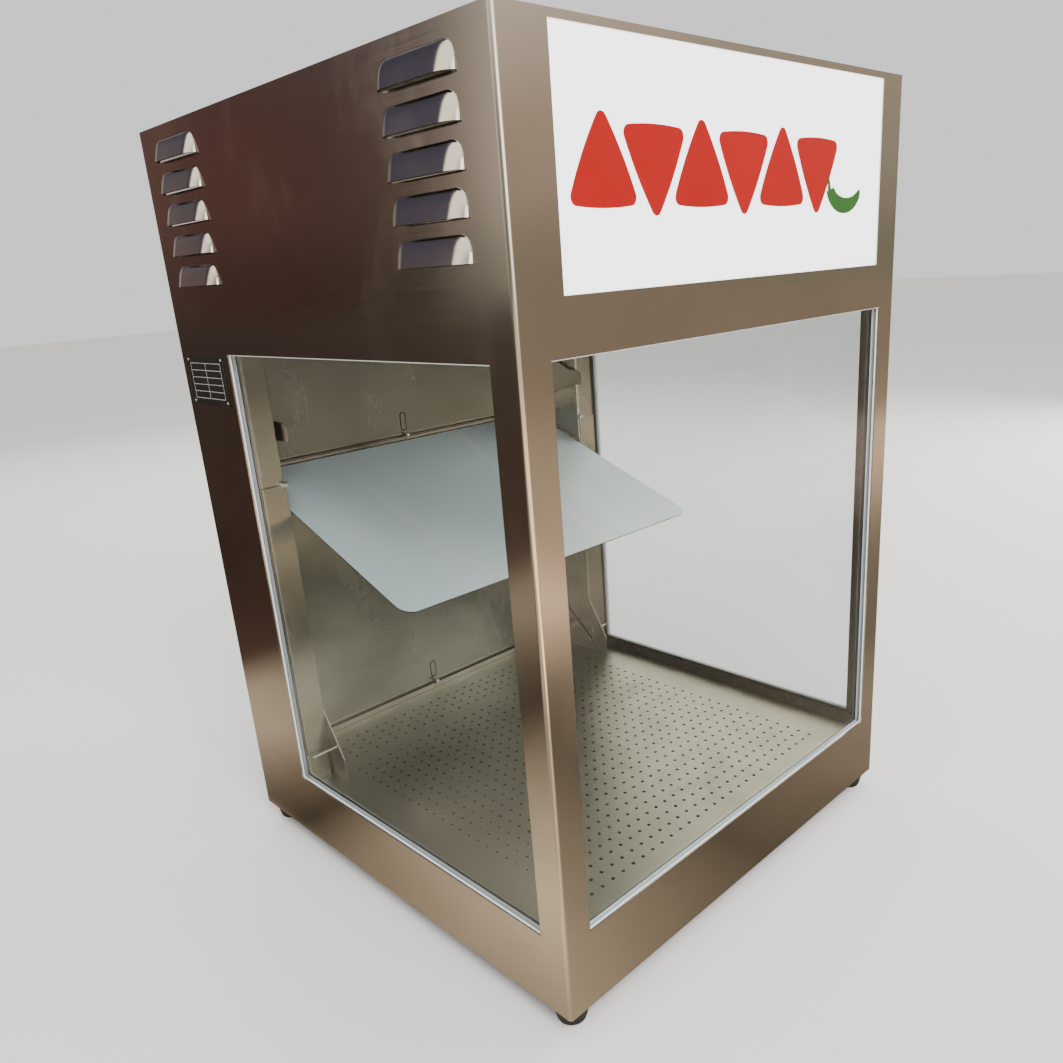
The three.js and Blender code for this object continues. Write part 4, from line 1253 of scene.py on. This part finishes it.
def add_dial(face):
    """Numbered marks round the thermostat's ribbed knob."""
    knob = "thermostat_knob"
    x, z, rear = middle(knob, X), middle(knob, Z), span(knob, Y)[1]
    for i in range(DIAL_MARKS):
        turn = math.radians(DIAL_FROM - DIAL_STEP * i)
        ux, uz = -math.cos(turn), math.sin(turn)
        tick = []
        for end, side in ((-1, 1), (1, 1), (1, -1), (-1, -1)):
            reach, aside = TICK_RADIUS + end * TICK_HALF_LENGTH, side * TICK_HALF_WIDTH
            tick.append((x + reach * ux - aside * uz, z + reach * uz + aside * ux))
        detail(f"dial_tick_{i}", prism(tick, Y, face - 0.1, face + 0.12), WHITE_MARK, "brushed_steel")
        number_x, number_z = x + NUMBER_RADIUS * ux, z + NUMBER_RADIUS * uz
        add_number(f"dial_number_{i}", i, number_x, number_z, face + 0.08)

    skirt = [(13.6, face + 2), (15, face + 2.4), (15, face + 4), (14.4, face + 4.6)]
    crown = [(14.0, rear - 1.2), (13.0, rear - 0.2), (11.5, rear)]
    shape = lathe(skirt + crown, (x, 0, z), Y, 96, ribs=GRIP_RIBS, rib_depth=RIB_DEPTH)
    detail("thermostat_grip", shape, BLACK, "black_plastic", knob, node="thermostat_knob")
    pointer = block(x - 0.8, x + 0.8, rear - 1, rear - 0.02, z + 3, z + 12)
    detail("thermostat_pointer", pointer, WHITE_MARK, "black_plastic", knob, 0.2)
    shaft = lathe([(3, face - 7.2), (3, face + 2.2)], (x, 0, z), Y, 24)
    detail("thermostat_shaft", shaft, BRIGHT, "black_plastic", knob)


def add_rocker(node, face):
    """A dished key that stands tipped, with a bar for on and a ring for off."""
    x, z = middle(node, X), middle("thermostat_knob", Z)
    cosine, sine = math.cos(ROCKER_TILT), math.sin(ROCKER_TILT)

    def tipped(points, faces):
        turned = []
        for dx, out, up in points:
            y = face + ROCKER_PIVOT + out * cosine + up * sine
            turned.append((x + dx, y, z + up * cosine - out * sine))
        return turned, faces

    key = tipped(*prism(ROCKER_DISH, X, -ROCKER_HALF_WIDTH, ROCKER_HALF_WIDTH))
    detail(f"{node}_key", key, BLACK, "black_plastic", node, 0.5, node)
    bar = tipped(*block(-0.6, 0.6, MARK_LOW, MARK_HIGH, -9.5, -5.5))
    detail(f"{node}_on_mark", bar, WHITE_MARK, "black_plastic", node)
    ring = tipped(*tube(1.5, 2.1, MARK_LOW, MARK_HIGH, (0, 0, 7.5), Y, 24))
    detail(f"{node}_off_mark", ring, WHITE_MARK, "black_plastic", node)


def add_controls():
    (x0, x1), (_, face), (z0, z1) = extents("rear_header_panel")
    add_dial(face)
    for node in ("power_rocker", "light_rocker"):
        add_rocker(node, face)
    inlet_x, inlet_z = middle("power_inlet", X), middle("power_inlet", Z)
    for i, (dx, dz) in enumerate(INLET_PINS):
        x, z = inlet_x + dx, inlet_z + dz
        pin = block(x - 1, x + 1, face - 13.5, face - 1, z - 2, z + 2)
        detail(f"inlet_pin_{i + 1}", pin, BRIGHT, "black_plastic", radius=0.3)
    for i, x in enumerate(steps(x0 + SCREW_INSET, x1 - SCREW_INSET, 3)):
        for level, z in (("low", z0 + SCREW_INSET), ("high", z1 - SCREW_INSET)):
            add_rivet(f"rear_screw_{level}_{i + 1}", (x, face, z), Y, 3.2, "brushed_steel")


PULL_WALL = 1.5


def add_pull():
    """The crumb tray's pull: a channel open at the top."""
    (x0, x1), (y0, y1), (z0, z1) = extents("crumb_tray_pull")
    outline = rounded_outline(trough(y0, y1, z0, z1, PULL_WALL), 0.7, 3)
    shape = prism(outline, X, x0, x1)
    detail("tray_pull_channel", shape, BRIGHT, "bright_steel", "crumb_tray", 0.2, "crumb_tray_pull")


# --- kept CAD nodes
EDGE_RADIUS = 0.35
KEPT = (
    (ZINC, ("header_deck", "air_plenum", "blower_housing", "thermostat_body")),
    (BLACK, ("blower_motor", "left_lamp_holder", "right_lamp_holder", "switch_bezel", "power_inlet")),
    (TOP_STEEL, ("top_panel",)),
    (OUTER, ("rear_header_panel",)),
    (SHADED_INNER_STEEL, ("base_pan", "crumb_tray")),
    (LIT_INNER_STEEL, ("rear_divider", "rear_sill")),
    (BRIGHT, ("left_baffle_peg", "right_baffle_peg")),
)
KEPT_ROUND = (
    (ZINC, ("blower_wheel",)),
    (HEATER, ("heater_element",)),
    (LAMP, ("lamp_tube",)),
    (BRIGHT, ("upper_hinge_pin", "lower_hinge_pin", "baffle_hinge_pin")),
)

add_camera()
add_stage()
add_world()
add_lights()
add_outer_sheets()
add_windows()
add_sign()
add_floor()
add_doors()
for side, flip in sides():
    add_duct(side, flip)
    add_duct_cover(side, flip)
for side, flip in sides():
    add_guard(side, flip)
add_baffle()
add_feet()
add_data_plate()
add_controls()
add_pull()
for kept, radius in ((KEPT, EDGE_RADIUS), (KEPT_ROUND, 0.0)):
    for material, nodes in kept:
        for node in nodes:
            give(node, material, radius)
